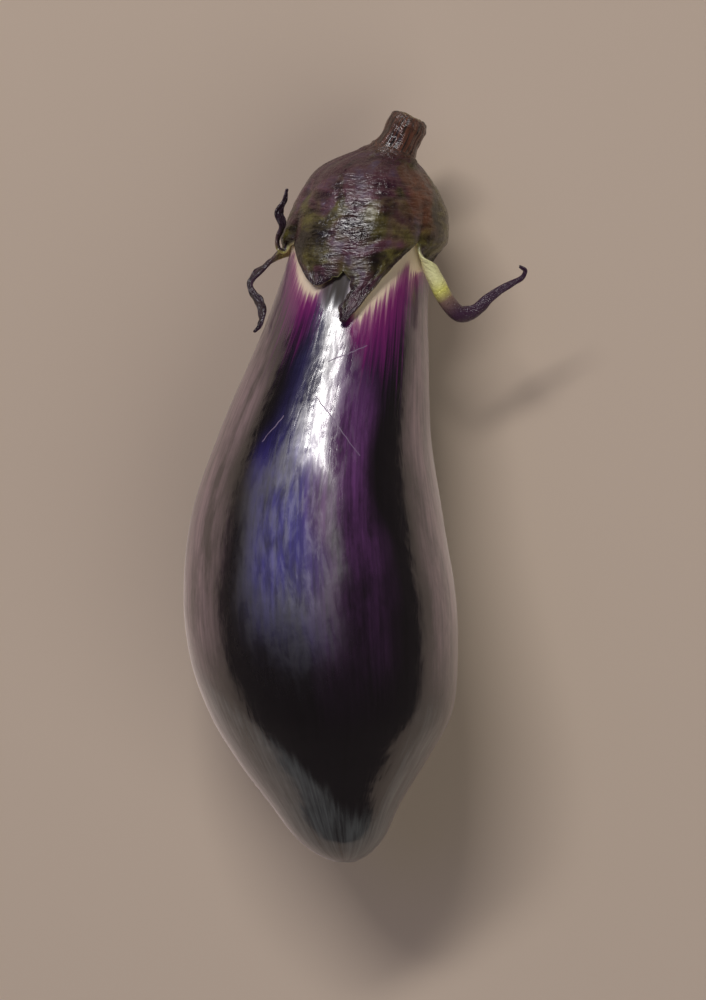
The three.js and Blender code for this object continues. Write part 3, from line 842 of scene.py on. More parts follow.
def weave_lobe(i, lobe):
    """Adds a lobe to the sheet and returns its inner face, with the distance down it of each row."""
    half_width, shape, length = dried_lobe(lobe, i) if "path" in lobe else hugging_lobe(lobe, i)
    steps = np.linspace(0, 1, lobe["rows"] + 1)[:, None]
    shares = np.linspace(-1, 1, lobe["columns"] + 1)[None, :]
    down = steps * length
    hugs = "tip" in lobe

    # the faces, trimmed by the bulge of their margins
    beside_path = np.sign(shares) * MARGINS_APART
    places = np.stack(np.broadcast_arrays(down + WAVER_APART * i, beside_path, 0.0), axis=-1)
    waver = 1 + MARGIN_WAVER * grain(places, WAVER_MM) * ease(down, *WAVER_STARTS)
    half = half_width(steps)
    thin = LOBE_THICKNESS * (1 - MARGIN_THINNING) if hugs else TAIL_THICKNESS
    bulge = np.minimum(thin / 2, half / 2) * ease(down, *BULGE_STARTS)
    inner, normal, thickness = shape(shares * np.minimum((1 - bulge / half) * waver, 1), steps)
    at_tip = ease(down, length - TIP_LENGTH, length)
    thickness = thickness * mix(1, TIP_TAPER, at_tip)
    outer = inner + normal * thickness[..., None]

    # their points, which start below the dome's last row
    azimuth, reach = base_of(i, shares)
    if hugs:
        dry = HUGGING_DRYNESS * ease(down, *DRIES_OVER) + TIP_DRYNESS * at_tip
    else:
        dry = ease(down, *lobe.get("dries", DRIES_OVER))
    run = FLARE_RUN + reach - FLARE_REACH + down
    marks = {"turn": azimuth, "run": run, "share": shares, "dry": dry, "down": down}
    marks = {mark: np.broadcast_to(values, thickness.shape)[1:] for mark, values in marks.items()}
    first, last = notch_columns[i], notch_columns[i + 1] + 1
    outer_ids = np.vstack([closed(dome_grid[-1])[None, first:last], lay(outer[1:], **marks)])
    inner_ids = np.vstack([closed(inner_grid[-1])[None, first:last], lay(inner[1:], inner=1, **marks)])
    weave(outer_ids, True)
    weave(inner_ids, False)

    # the margins and the tip
    middle = (outer + inner) / 2
    edge_ids = []
    for column, beside, notch, faces_out in ((0, 1, i, False), (-1, -2, i + 1, True)):
        edge = rounded_edge(outer[1:, column], inner[1:, column], middle[1:, beside], bulge[1:, 0])
        edge_marks = {mark: values[:, column][:, None] for mark, values in marks.items()}
        ids = np.vstack([notch_edges[notch % len(LOBES)], lay(edge, inner=edge_inner, **edge_marks)])
        weave(np.hstack([outer_ids[:, [column]], ids, inner_ids[:, [column]]]), faces_out)
        edge_ids.append(ids)
    tip_bulge = np.full(lobe["columns"] - 1, bulge[-1, 0])
    tip = rounded_edge(outer[-1, 1:-1], inner[-1, 1:-1], middle[-2, 1:-1], tip_bulge)
    tip_marks = {mark: values[-1, 1:-1][:, None] for mark, values in marks.items()}
    tip_ids = lay(tip, inner=edge_inner, **tip_marks)
    tip_rows = np.vstack([edge_ids[0][-1], tip_ids, edge_ids[1][-1]]).T
    weave(np.vstack([outer_ids[-1], tip_rows, inner_ids[-1]]), True)
    return inner, np.broadcast_to(down, thickness.shape)


lobe_faces = [weave_lobe(i, lobe) for i, lobe in enumerate(LOBES)]
calyx_points = np.concatenate(laid["points"])
calyx_marks = {mark: np.concatenate(laid[mark]) for mark in MARKS}
print("calyx points", len(calyx_points), "faces", len(calyx_faces))

# %% [markdown]
# ## From lines to meshes
# One function makes a mesh from points in millimetres and places it in the model's frame. The step
# between the two frames is measured once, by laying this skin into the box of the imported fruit.

# %% The skin's points
RINGS = 330
SIDES = 240
REST_PRESS = 0.6  # how far the skin is pressed flat where the fruit rests
ring_along = LENGTH * (1 - np.cos(np.pi * np.arange(1, RINGS) / RINGS)) / 2
side_azimuth = 2 * np.pi * np.arange(SIDES) / SIDES
skin_grid = skin_point(side_azimuth[None, :], ring_along[:, None])
stem_pole, blossom_pole = skin_point(0.0, 0.0), skin_point(0.0, float(LENGTH))
skin_points = np.concatenate([skin_grid.reshape(-1, 3), [stem_pole, blossom_pole]])

packed_low, packed_high = (np.array(corner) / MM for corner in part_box("fruit"))
own_low, own_high = skin_points.min(axis=0), skin_points.max(axis=0)
to_frame = (packed_low + packed_high - own_low - own_high) / 2
to_frame[2] = packed_low[2] - own_low[2] - REST_PRESS
print("step to the model's frame", to_frame.round(2), "mm")

# %% [markdown]
# What the plant knows about itself goes along as attributes, a number or a vector for each point,
# and the materials read them later.


# %% One mesh from points and faces
def grown(name, points, faces):
    """A smooth mesh in the model's frame, from points in millimetres."""
    mesh = bpy.data.meshes.new(name)
    mesh.from_pydata(((points + to_frame) * MM).tolist(), [], faces)
    mesh.shade_smooth()
    return shown(mesh, name)


def normals_of(piece):
    normals = np.empty(len(piece.data.vertices) * 3, np.float32)
    piece.data.vertices.foreach_get("normal", normals)
    return normals.reshape(-1, 3).astype(float)


def moved(piece, points):
    """Puts a piece's points, in millimetres, at new places."""
    piece.data.vertices.foreach_set("co", ((points + to_frame) * MM).astype(np.float32).ravel())
    piece.data.update()


def mark(piece, name, values):
    """Writes a number or a vector for each point, for the materials to read."""
    kind, key = ("FLOAT_VECTOR", "vector") if np.ndim(values) == 2 else ("FLOAT", "value")
    layer = piece.data.attributes.new(name, kind, "POINT")
    layer.data.foreach_set(key, np.asarray(values, np.float32).ravel())


skin_ids = np.arange((RINGS - 1) * SIDES).reshape(RINGS - 1, SIDES)
wrapped = closed(skin_ids)
a, b = wrapped[:-1, :-1].ravel(), wrapped[1:, :-1].ravel()
e, d = wrapped[:-1, 1:].ravel(), wrapped[1:, 1:].ravel()
skin_faces = np.stack([a, b, d, e], axis=1).tolist()
stem_id, blossom_id = len(skin_points) - 2, len(skin_points) - 1
skin_faces += [[stem_id, a, b] for a, b in zip(wrapped[0], wrapped[0][1:])]
skin_faces += [[blossom_id, b, a] for a, b in zip(wrapped[-1], wrapped[-1][1:])]
skin = grown("fruit_skin", skin_points, skin_faces)
print("skin", len(skin_points), "points")

# %% [markdown]
# A grown skin isn't a perfect surface. It has shallow dents a few centimetres apart and finer
# unevenness, which is what breaks up the light that it mirrors. At the blossom end the flower has
# left a small corky scar in a dimple. Apart from the scar's low rim it all presses inwards, so the
# fruit keeps its size.

# %% Relief of the skin
DENT_MM, DENT_DEPTH = 26, 0.22
RIPPLE_MM, RIPPLE_DEPTH = 7, 0.06
NECK_DEPTH = 0.4  # the neck narrows a little more than the plain solid does
NECK_END, NECK_FADE = 36, 28  # down the fruit, and how far beyond that the press fades out
SCAR_RADIUS, SCAR_DEPTH = 1.9, 0.3
SCAR_RAGGED, RAGGED_MM = 0.25, 1.6
SCAR_EDGE = (0.75, 1.15)  # where its edge starts and ends, as a share of its radius
RIM_PLACE, RIM_WIDTH, RIM_HEIGHT = 1.45, 0.6, 0.1
CRUST_MM, CRUST_HEIGHT = 0.55, 0.12

along = -skin_points[:, 1]
from_pole = np.linalg.norm(skin_points - blossom_pole, axis=1)
ragged = SCAR_RADIUS * (1 + SCAR_RAGGED * grain(skin_points, RAGGED_MM))
scar = 1 - ease(from_pole, ragged * SCAR_EDGE[0], ragged * SCAR_EDGE[1])
rim = np.exp(-(((from_pole - ragged * RIM_PLACE) / RIM_WIDTH) ** 2))
crust = CRUST_HEIGHT * grain(skin_points, CRUST_MM)
dents = DENT_DEPTH * (0.5 + 0.5 * grain(skin_points, DENT_MM))
neck_press = NECK_DEPTH * (1 - np.clip((along - NECK_END) / NECK_FADE, 0, 1))
ripples = RIPPLE_DEPTH * (0.5 + 0.5 * grain(skin_points, RIPPLE_MM))
depth = dents + neck_press + ripples + scar * (SCAR_DEPTH - crust) - rim * RIM_HEIGHT
relief_points = skin_points - normals_of(skin) * depth[:, None]
floor_level = packed_low[2] - to_frame[2]
relief_points[:, 2] = np.maximum(relief_points[:, 2], floor_level)
moved(skin, relief_points)
print("deepest dent", round(float(dents.max()), 2), "mm, all together", round(float(depth.max()), 2), "mm")

# %% [markdown]
# The skin under the calyx has seen no light and stays cream. Growth pushes a little of it out past
# the margin, where it turns pink, then magenta, then violet-black. So the skin is marked with its
# distance from the calyx, found with a tree of all the points of the calyx that touch the fruit.

# %% Distance from the calyx
CALYX_END = 110  # down the fruit, safely beyond the calyx
BELLY_DISTANCE = 60  # stands for all of the skin below that
ROUND_MM = 36
# round the fruit in degrees, and how far the pale growth reaches there, as a share of the most
PALE_PLACES = (-180, -90, -58, -40, -22, -8, 8, 28, 44, 58, 90, 180)
PALE_SHARES = (0.5, 0.5, 0.8, 1, 0.4, 0.15, 0.6, 1.05, 0.95, 0.35, 0.4, 0.5)
PALE_LEAST = 0.15
# between the front lobes the skin counts older, so no pale growth shows and it goes dark as painted shade:
# where, how widely, and how much older it counts
NOTCH_PLACE, NOTCH_WIDTH, NOTCH_SHADE_AGE = -10, 9, 24

touching = [inner_points.reshape(-1, 3)]
for (inner, distance), lobe in zip(lobe_faces, LOBES):
    limit = lobe["leave"][0] if "leave" in lobe else np.inf
    touching.append(inner[distance <= limit])
touching = np.concatenate(touching)
nearest = kdtree.KDTree(len(touching))
for number, point in enumerate(touching):
    nearest.insert(point, number)
nearest.balance()
near = np.array(
    [nearest.find(point)[2] if point[1] > -CALYX_END else BELLY_DISTANCE for point in skin_points]
)
skin_turn = np.concatenate([np.tile(side_azimuth, RINGS - 1), [0, 0]])
lengthwise = np.stack([ROUND_MM * np.sin(skin_turn), ROUND_MM * np.cos(skin_turn), along], axis=1)
degrees = np.degrees((skin_turn + np.pi) % (2 * np.pi) - np.pi)
pale_share = PALE_LEAST + (1 - PALE_LEAST) * curve_through(PALE_PLACES, PALE_SHARES)(degrees)
notch_shade_age = NOTCH_SHADE_AGE * np.exp(-(((degrees - NOTCH_PLACE) / NOTCH_WIDTH) ** 2))
# the notch's added age paints the lobes' shadow there as dark skin
mark(skin, "bare", (near - GAP) / pale_share + notch_shade_age)
mark(skin, "lengthwise", lengthwise)
mark(skin, "scar", scar)
print("skin within 3 mm of the calyx:", int((near < 3).sum()), "points")

# %% [markdown]
# The dark pigment isn't even either. Plum and blue lie in bands along the upper side. The blue is
# partly pigment and partly a painted reflection of the window's violet haze. The pale flank tint is
# partly a dusty wax bloom and partly a painted reflection of the pale floor along both rims, and the
# ashen grey towards the blossom end is a painted reflection of the floor too. A tint is a band round
# the fruit times a band down it. Broad noise bends the bands, and noise drawn out into long strokes
# frays their ends.

# %% Marks of the pigment
# each band starts, is full, fades and has gone, in degrees round the fruit or in millimetres down it
PLUM_ROUND, PLUM_DOWN = (-12, 0, 18, 29), (18, 40, 96, 150)
PLUM_WIDENS, WIDENS_OVER = 6, (78, 104)
PLUM_DIMS, DIMS_OVER = 0.45, (84, 112)
BLUE_ROUND = (-40, -24, -8, 8)
BLUE_ABOVE, BLUE_STARTS, BLUE_DEEPENS, BLUE_ENDS = 0.22, (18, 40), (64, 92), (98, 132)
FLANK_ROUND, FLANK_DOWN = (42, 62, 92, 122), (10, 40, 118, 146)
DRIFT, DRIFT_MM = 7, 17
STROKE_MM, STROKE_PULL = 1.3, 6  # how wide the strokes are, and how much longer than wide

drift = DRIFT * grain(skin_points, DRIFT_MM)
drifted, drifted_along = degrees + drift, along + drift
rises, holds, falls, ends = PLUM_ROUND
widening = PLUM_WIDENS * ease(along, *WIDENS_OVER)
plum = band(drifted, rises, holds, falls + widening, ends + widening) * band(drifted_along, *PLUM_DOWN)
plum = plum * (1 - PLUM_DIMS * ease(along, *DIMS_OVER))
mark(skin, "plum", plum)
# the blue band is partly pigment and partly a painted reflection of the window's violet haze
blue_and_painted_haze = BLUE_ABOVE * ease(along, *BLUE_STARTS) + (1 - BLUE_ABOVE) * ease(drifted_along, *BLUE_DEEPENS)
mark(skin, "blue_and_painted_haze", band(drifted, *BLUE_ROUND) * blue_and_painted_haze * (1 - ease(drifted_along, *BLUE_ENDS)))
# the flank band is partly a dusty wax bloom and partly a painted reflection of the pale floor on the rims
mark(skin, "flank_bloom_and_rim_reflection", band(np.abs(drifted), *FLANK_ROUND) * band(along, *FLANK_DOWN))
print("plum on", int((plum > 0.5).sum()), "of", len(skin_points), "points")

# %% [markdown]
# The ashen grey is a painted reflection of the pale floor on the lower rims and the tip. It closes
# in from both sides: its left edge slants down to the tip, and its right edge runs along the fruit.
# Only the upper side has it.

# %% Marks of the ashen grey, a painted rim reflection
ASHEN_SLANT, ASHEN_LEFT = 2, -51  # degrees for each millimetre, and where its left edge stands
ASHEN_LEVEL = 140  # down the fruit, where the left edge stands there
ASHEN_FADES = 12
LEFT_STARTS, RIGHT_STARTS, TIP_STARTS = (130, 144), (138, 152), (169, 176)
RIGHT_ROUND = (38, 54)
UPPER_SIDE = (92, 122)
ROUND_FRAY, TIP_FRAY = 6, 3  # how far the strokes move an edge, in degrees and in millimetres

strokes = grain(lengthwise / (1, 1, STROKE_PULL), STROKE_MM)
frayed = degrees + ROUND_FRAY * strokes
left_edge = ASHEN_LEFT + ASHEN_SLANT * (along - ASHEN_LEVEL)
on_left = ease(left_edge - frayed, 0, ASHEN_FADES) * ease(along, *LEFT_STARTS)
on_right = ease(frayed, *RIGHT_ROUND) * ease(along, *RIGHT_STARTS)
on_tip = ease(along + TIP_FRAY * strokes, *TIP_STARTS)
on_upper_side = 1 - ease(np.abs(drifted), *UPPER_SIDE)
# painted reflection: this grey stands in for the floor mirrored on the lower rims and the tip
grey_rim_reflection = on_upper_side * np.maximum(np.maximum(on_left, on_right), on_tip)
mark(skin, "grey_rim_reflection", grey_rim_reflection)
print("ashen on", int((grey_rim_reflection > 0.5).sum()), "of", len(skin_points), "points")

# %% [markdown]
# Three more marks steer the gloss. Handling has polished the wax to patches on the upper side, and
# left it whole beside them. Below them lies a matt bloom of wax. The notch between the front lobes is
# sheltered: nothing ever rubbed it bright. Its mark also darkens the colour there, as painted shadow
# of the lobes.

# %% Marks of the gloss
HANDLED_ROUND, HANDLED_ENDS = (-28, -15, 12, 34), (78, 90)
BLOOM_ROUND, BLOOM_DOWN = (-50, -26, -2, 20), (78, 92, 104, 150)
SHELTER_PLACE, SHELTER_WIDTH = -13, 12
SHELTER_ENDS, SHELTER_FRAY = (34, 41), 4

in_notch = np.exp(-(((frayed - SHELTER_PLACE) / SHELTER_WIDTH) ** 4))
# this mark both dulls the wax and paints the lobes' shadow into the skin's colour in the notch
mark(skin, "notch_shadow_and_dull_wax", in_notch * (1 - ease(along + SHELTER_FRAY * strokes, *SHELTER_ENDS)))
mark(skin, "handled", (1 - ease(drifted_along, *HANDLED_ENDS)) * band(drifted, *HANDLED_ROUND))
mark(skin, "bloom", band(drifted_along, *BLOOM_DOWN) * band(drifted, *BLOOM_ROUND))
print("attributes of the skin:", len(skin.data.attributes))

# %% [markdown]
# The calyx gets its relief the same way, along its own normals and only on its outer face: a rib up
# the middle of each lobe that runs on into the stem, valleys at the notches, soft lumps, and fine
# folds across, where the drying flesh has shrunk. Dried lobes and the stem have lengthwise fibres.

# %% Relief of the calyx and stem
RIB_HEIGHT, RIB_FADES = 0.25, (22, 40)
VALLEY_DEPTH, VALLEY_FADES = 0.2, (14, 30)
LUMP_MM, LUMP_HEIGHT = 5, 0.3
KNOT_MM, KNOT_HEIGHT, KNOT_SHIFT = 2.2, 0.4, 31  # its noise is read elsewhere than the lumps'
FOLD_MM, FOLD_HEIGHT, FOLD_STARTS = 1.7, 0.34, (9, 17)
FOLD_PULL = 3.5  # how much longer than high a fold is
FOLD_BEND, BEND_MM = 1.6, 7
FOLD_LEVEL = 0.35  # the noise at which a fold is level with the flesh
FIBRE_MM, FIBRE_HEIGHT, FIBRE_PULL = 0.8, 0.12, 12
BEAD_HEIGHT, BEAD_PLACE, BEAD_WIDTH = 0.3, 0.86, 0.1  # a bead along the margin; its place is a share
BEAD_STARTS, BEAD_DRIES = (0, 4), (0.3, 0.8)
RIM_SETTLES, SETTLED = (11, 14), 0.8  # the relief runs out over the stem's rim
FLESH_GIRTH, BARK_GIRTH = 20, 6
ON_BARK, WHEN_DRY, FOLDS_DRY = 0.6, 0.6, 0.5  # how much of the relief bark and drying take away

calyx = grown("calyx_and_stem", calyx_points, calyx_faces)
turn, run, share = calyx_marks["turn"], calyx_marks["run"], calyx_marks["share"]
dry, bark, down = calyx_marks["dry"], np.minimum(calyx_marks["bark"], 1), calyx_marks["down"]
cut = np.maximum(calyx_marks["bark"] - 1, 0)
outside = 1 - calyx_marks["inner"]
girth = mix(FLESH_GIRTH, BARK_GIRTH, bark)
around = np.stack([girth * np.sin(turn), girth * np.cos(turn), run], axis=1)

ribs = RIB_HEIGHT * (1 - share**2) ** 2 * (1 - ease(run, *RIB_FADES))
valleys = -VALLEY_DEPTH * np.abs(share) ** 6 * (1 - ease(run, *VALLEY_FADES))
lumps = LUMP_HEIGHT * grain(around, LUMP_MM)
knots = KNOT_HEIGHT * grain(around + KNOT_SHIFT, KNOT_MM) * np.maximum(dry, bark)
bent_run = run + FOLD_BEND * grain(around, BEND_MM)
fold_places = np.stack([around[:, 0] / FOLD_PULL, around[:, 1] / FOLD_PULL, bent_run], axis=1)
creases = FOLD_LEVEL - np.abs(grain(fold_places, FOLD_MM))
folds = FOLD_HEIGHT * creases * ease(run, *FOLD_STARTS) * (1 - FOLDS_DRY * dry)
fibre_places = np.stack([around[:, 0], around[:, 1], run / FIBRE_PULL], axis=1)
fibres = FIBRE_HEIGHT * grain(fibre_places, FIBRE_MM)
on_bead = np.exp(-(((np.abs(share) - BEAD_PLACE) / BEAD_WIDTH) ** 2))
bead = BEAD_HEIGHT * on_bead * ease(down, *BEAD_STARTS) * (1 - ease(dry, *BEAD_DRIES))
grown_out = (ribs + valleys) * (1 - cut) * (1 - ON_BARK * bark) + lumps * (1 - WHEN_DRY * dry)
rise = grown_out + knots + folds + bead + fibres * mix(0.5, 1, np.maximum(dry, bark))
settled = SETTLED * ease(-run, *RIM_SETTLES)
calyx_relief = calyx_points + normals_of(calyx) * (rise * outside * (1 - settled))[:, None]
moved(calyx, calyx_relief)
print("relief of the calyx from", rise.min().round(2), "to", rise.max().round(2), "mm")

# %% [markdown]
# The calyx has aged unevenly. It has turned purple up the left, on the crown and at the lobes' ends,
# stayed green on both shoulders, and gone russet high on the right.

# %% Marks of the calyx
ALL_ROUND, ALL_DOWN = (-400, -300, 300, 400), (-100, -50, 200, 300)
# how far a place leans to purple, or to green below zero; its band round the calyx, and down it
LEANINGS = (
    (0.1, (-100, -75, -35, -20), (-100, -50, 20, 28)),
    (0.12, (-30, -20, 15, 25), (8, 12, 16, 22)),
    (0.1, ALL_ROUND, (40, 50, 200, 300)),
    (-0.14, (-55, -42, -30, -20), (20, 26, 34, 42)),
    (-0.14, (48, 62, 110, 130), ALL_DOWN),
)
RUSSET_ROUND, RUSSET_DOWN = (28, 38, 56, 66), (3, 8, 22, 30)
RUSSET_DRIFT, RUSSET_MM = 24, 9

around_degrees = np.degrees((turn + np.pi) % (2 * np.pi) - np.pi)
leaning = np.zeros(len(run))
for strength, round_it, down_it in LEANINGS:
    leaning += strength * band(around_degrees, *round_it) * band(run, *down_it)
russet_place = around_degrees + RUSSET_DRIFT * grain(around, RUSSET_MM)
mark(calyx, "around", around)
mark(calyx, "inner", calyx_marks["inner"])
mark(calyx, "dry", dry)
mark(calyx, "bark", bark)
mark(calyx, "cut", cut)
mark(calyx, "edge", np.abs(share) ** 4 * ease(down, *BEAD_STARTS))
mark(calyx, "folds", folds / FOLD_HEIGHT * outside)
mark(calyx, "purpled", leaning)
mark(calyx, "russet", band(russet_place, *RUSSET_ROUND) * band(run, *RUSSET_DOWN))
print("attributes of the calyx:", len(calyx.data.attributes))

# %% [markdown]
# ## Materials
# Each finish starts from what the real surface is and how it came about. The marks on the points say
# where on the plant each spot is, so no material has to guess it from a picture.

# %% [markdown]
# ### The fruit's skin
# Real thing: a living skin full of violet-black pigment, polished by a thin natural wax. The wax is
# what shines. It mirrors little of what stands above it and much of what lies beside it. Its index of
# refraction is near 1.45; here it is set higher, so that the streak and the rims come out as strong as
# the eye sees them on such a dark thing. The pigment is laid down in fine streaks from stem to
# blossom end, and in longer patches that are stronger or weaker.

# %% Streaks and patches
STREAK_MM = 1.1  # across; real streaks are half as wide, too fine to show here
STREAK_LENGTH = 28
PATCH_MM = 8
PATCH_LENGTH = 24

skin_wax, tree = new_material("waxy_eggplant_skin")
lengthwise_place = add(tree, "ShaderNodeAttribute", attribute_name="lengthwise").outputs["Vector"]
stretched = add(
    tree,
    "ShaderNodeMapping",
    {"Vector": lengthwise_place, "Scale": (1 / STREAK_MM, 1 / STREAK_MM, 1 / STREAK_LENGTH)},
)
streaks = add(
    tree,
    "ShaderNodeTexNoise",
    {"Vector": stretched.outputs["Vector"], "Scale": 1, "Detail": 4, "Roughness": 0.6},
)
patch_place = add(
    tree,
    "ShaderNodeMapping",
    {"Vector": lengthwise_place, "Scale": (1 / PATCH_MM, 1 / PATCH_MM, 1 / PATCH_LENGTH)},
)
patches = add(
    tree,
    "ShaderNodeTexNoise",
    {"Vector": patch_place.outputs["Vector"], "Scale": 1, "Detail": 5, "Roughness": 0.65},
)
mottle = add(
    tree,
    "ShaderNodeMapRange",
    {"Value": patches.outputs["Fac"], "From Min": 0.36, "From Max": 0.58, "To Min": 0.2, "To Max": 1},
)
print("streaks", STREAK_MM, "mm and patches", PATCH_MM, "mm wide")

# %% [markdown]
# The tints of the pigment, and the painted reflections among them, lie over each other like glazes,
# each as strong as its mark and the patches allow. The streaks darken all of them.

# %% Pigment of the skin
NIGHT_TINT = "#120b12"
# the flank and ashen tints are partly painted reflections of the floor on the rims; the blue is partly a
# painted reflection of the window's haze
TINTS = {"plum": "#6f3f78", "flank_bloom_and_rim_reflection": "#9a8086", "blue_and_painted_haze": "#433a94", "grey_rim_reflection": "#686d6c"}
STREAK_STRENGTH = 0.75

pigment = colour(NIGHT_TINT)
for mark_name, tint in TINTS.items():
    tinted = add(tree, "ShaderNodeAttribute", attribute_name=mark_name).outputs["Fac"]
    patchy = add(tree, "ShaderNodeMath", {0: tinted, 1: mottle.outputs["Result"]}, operation="MULTIPLY")
    glaze = {MIX_FACTOR: patchy.outputs["Value"], MIX_A: pigment, MIX_B: colour(tint)}
    pigment = add(tree, "ShaderNodeMix", glaze, data_type="RGBA").outputs[MIX_RESULT]
streak_tint = add(
    tree,
    "ShaderNodeValToRGB",
    {"Fac": streaks.outputs["Fac"]},
    stops=((0.3, "#8c8290"), (0.7, "#ffffff")),
)
dark_skin = add(
    tree,
    "ShaderNodeMix",
    {MIX_FACTOR: STREAK_STRENGTH, MIX_A: pigment, MIX_B: streak_tint.outputs["Color"]},
    data_type="RGBA",
    blend_type="MULTIPLY",
)
print("tints over the night-dark pigment:", ", ".join(TINTS))

# %% [markdown]
# Beside the calyx a ramp over the skin's age, which is its distance from the calyx, gives the cream,
# the pink and the magenta. The streaks shift that age, so the tints run out in strokes. The notch
# between the front lobes gets a dull brown painted shadow instead, and the scar is cork.

# %% Young skin beside the calyx
YOUNG_MM = 30
PAINTED_NOTCH_SHADOW_TINT = "#2f261e"
CORK_TINT = "#7a6248"

bare = add(tree, "ShaderNodeAttribute", attribute_name="bare").outputs["Fac"]
notch_shadow_and_dull_mask = add(tree, "ShaderNodeAttribute", attribute_name="notch_shadow_and_dull_wax").outputs["Fac"]
scar_mask = add(tree, "ShaderNodeAttribute", attribute_name="scar").outputs["Fac"]
wandering = add(
    tree,
    "ShaderNodeMapRange",
    {"Value": streaks.outputs["Fac"], "From Min": 0.25, "From Max": 0.75, "To Min": 1.9, "To Max": 0.55},
)
aged = add(tree, "ShaderNodeMath", {0: bare, 1: wandering.outputs["Result"]}, operation="MULTIPLY")
young_share = add(
    tree,
    "ShaderNodeMath",
    {0: aged.outputs["Value"], 1: YOUNG_MM},
    operation="DIVIDE",
    use_clamp=True,
)
young = add(
    tree,
    "ShaderNodeValToRGB",
    {"Fac": young_share.outputs["Value"]},
    stops=(
        (0, "#fff0d6"),
        (0.1, "#f6dfc4"),
        (0.16, "#a8688a"),
        (0.24, "#80256c"),
        (0.42, "#641a5c"),
        (0.75, "#2b1334"),
    ),
)
fades = add(
    tree,
    "ShaderNodeMapRange",
    {"Value": young_share.outputs["Value"], "From Min": 0.4, "From Max": 1},
)
young_to_dark = add(
    tree,
    "ShaderNodeMix",
    {
        MIX_FACTOR: fades.outputs["Result"],
        MIX_A: young.outputs["Color"],
        MIX_B: dark_skin.outputs[MIX_RESULT],
    },
    data_type="RGBA",
)
# painted shadow: the notch under the front lobes is darkened in the colour
notch_shadowed_skin = add(
    tree,
    "ShaderNodeMix",
    {
        MIX_FACTOR: notch_shadow_and_dull_mask,
        MIX_A: young_to_dark.outputs[MIX_RESULT],
        MIX_B: colour(PAINTED_NOTCH_SHADOW_TINT),
    },
    data_type="RGBA",
)
cork = add(
    tree,
    "ShaderNodeMix",
    {MIX_FACTOR: scar_mask, MIX_A: notch_shadowed_skin.outputs[MIX_RESULT], MIX_B: colour(CORK_TINT)},
    data_type="RGBA",
)
print("young skin reaches", YOUNG_MM, "mm from the calyx")

# %% [markdown]
# The wax wears off in lengthwise patches where the fruit has rubbed against leaves and other fruit.
# There the skin is duller, which breaks the streak of light into brighter and softer strokes. Below
# lies the bloom, a coat of fine wax crystals that spreads the light of the window into a haze.

# %% Wax and its wear
WEAR_MM = 2.6
WEAR_LENGTH = 9
worn_place = add(
    tree,
    "ShaderNodeMapping",
    {"Vector": lengthwise_place, "Scale": (1 / WEAR_MM, 1 / WEAR_MM, 1 / WEAR_LENGTH)},
)
wear = add(
    tree,
    "ShaderNodeTexNoise",
    {"Vector": worn_place.outputs["Vector"], "Scale": 1, "Detail": 5, "Roughness": 0.62, "Distortion": 0.5},
)
BRIGHT_WAX = 0.13
worn_dullness = add(
    tree,
    "ShaderNodeMapRange",
    {"Value": wear.outputs["Fac"], "From Min": 0.4, "From Max": 0.62, "To Min": 0.15, "To Max": 0.38},
)
handled_mask = add(tree, "ShaderNodeAttribute", attribute_name="handled").outputs["Fac"]
glossy = add(tree, "ShaderNodeMix", {0: handled_mask, 2: BRIGHT_WAX, 3: worn_dullness.outputs["Result"]})
bloom_mask = add(tree, "ShaderNodeAttribute", attribute_name="bloom").outputs["Fac"]
bloom_dullness = add(
    tree,
    "ShaderNodeMapRange",
    {"Value": wear.outputs["Fac"], "From Min": 0.4, "From Max": 0.6, "To Min": 0.6, "To Max": 0.92},
)
bloomed = add(
    tree,
    "ShaderNodeMix",
    {0: bloom_mask, 2: glossy.outputs[0], 3: bloom_dullness.outputs["Result"]},
)
SHELTERED_DULLNESS = 0.85
waxless = add(
    tree, "ShaderNodeMath", {0: notch_shadow_and_dull_mask, 1: SHELTERED_DULLNESS}, operation="MULTIPLY"
)
dullness = add(
    tree, "ShaderNodeMath", {0: bloomed.outputs[0], 1: waxless.outputs["Value"]}, operation="MAXIMUM"
)
print("worn patches", WEAR_MM, "mm wide and", WEAR_LENGTH, "mm long")

# %% [markdown]
# The wax isn't laid on quite evenly. Soft waves in it make every edge in the reflections waver.
# Handling has also left three scratches, thin dull lines that are lighter than the skin. Each one is
# the distance from a straight line, seen from above, and the waves bend it a little.

# %% Waves and scratches
WAVE_MM = 4.5
# where each scratch starts and ends, in metres seen from above
SCRATCHES = (
    ((-0.0073, 0.0324), (0.0028, 0.0366)),
    ((-0.0112, 0.0238), (0.001, 0.0077)),
    ((-0.019, 0.0181), (-0.0245, 0.0111)),
)
SCRATCH_HALF = 0.16 * MM
SCRATCH_WAVER = 1.2 * MM
SCRATCHED_ABOVE = 0.04  # metres over the floor: the underside has none

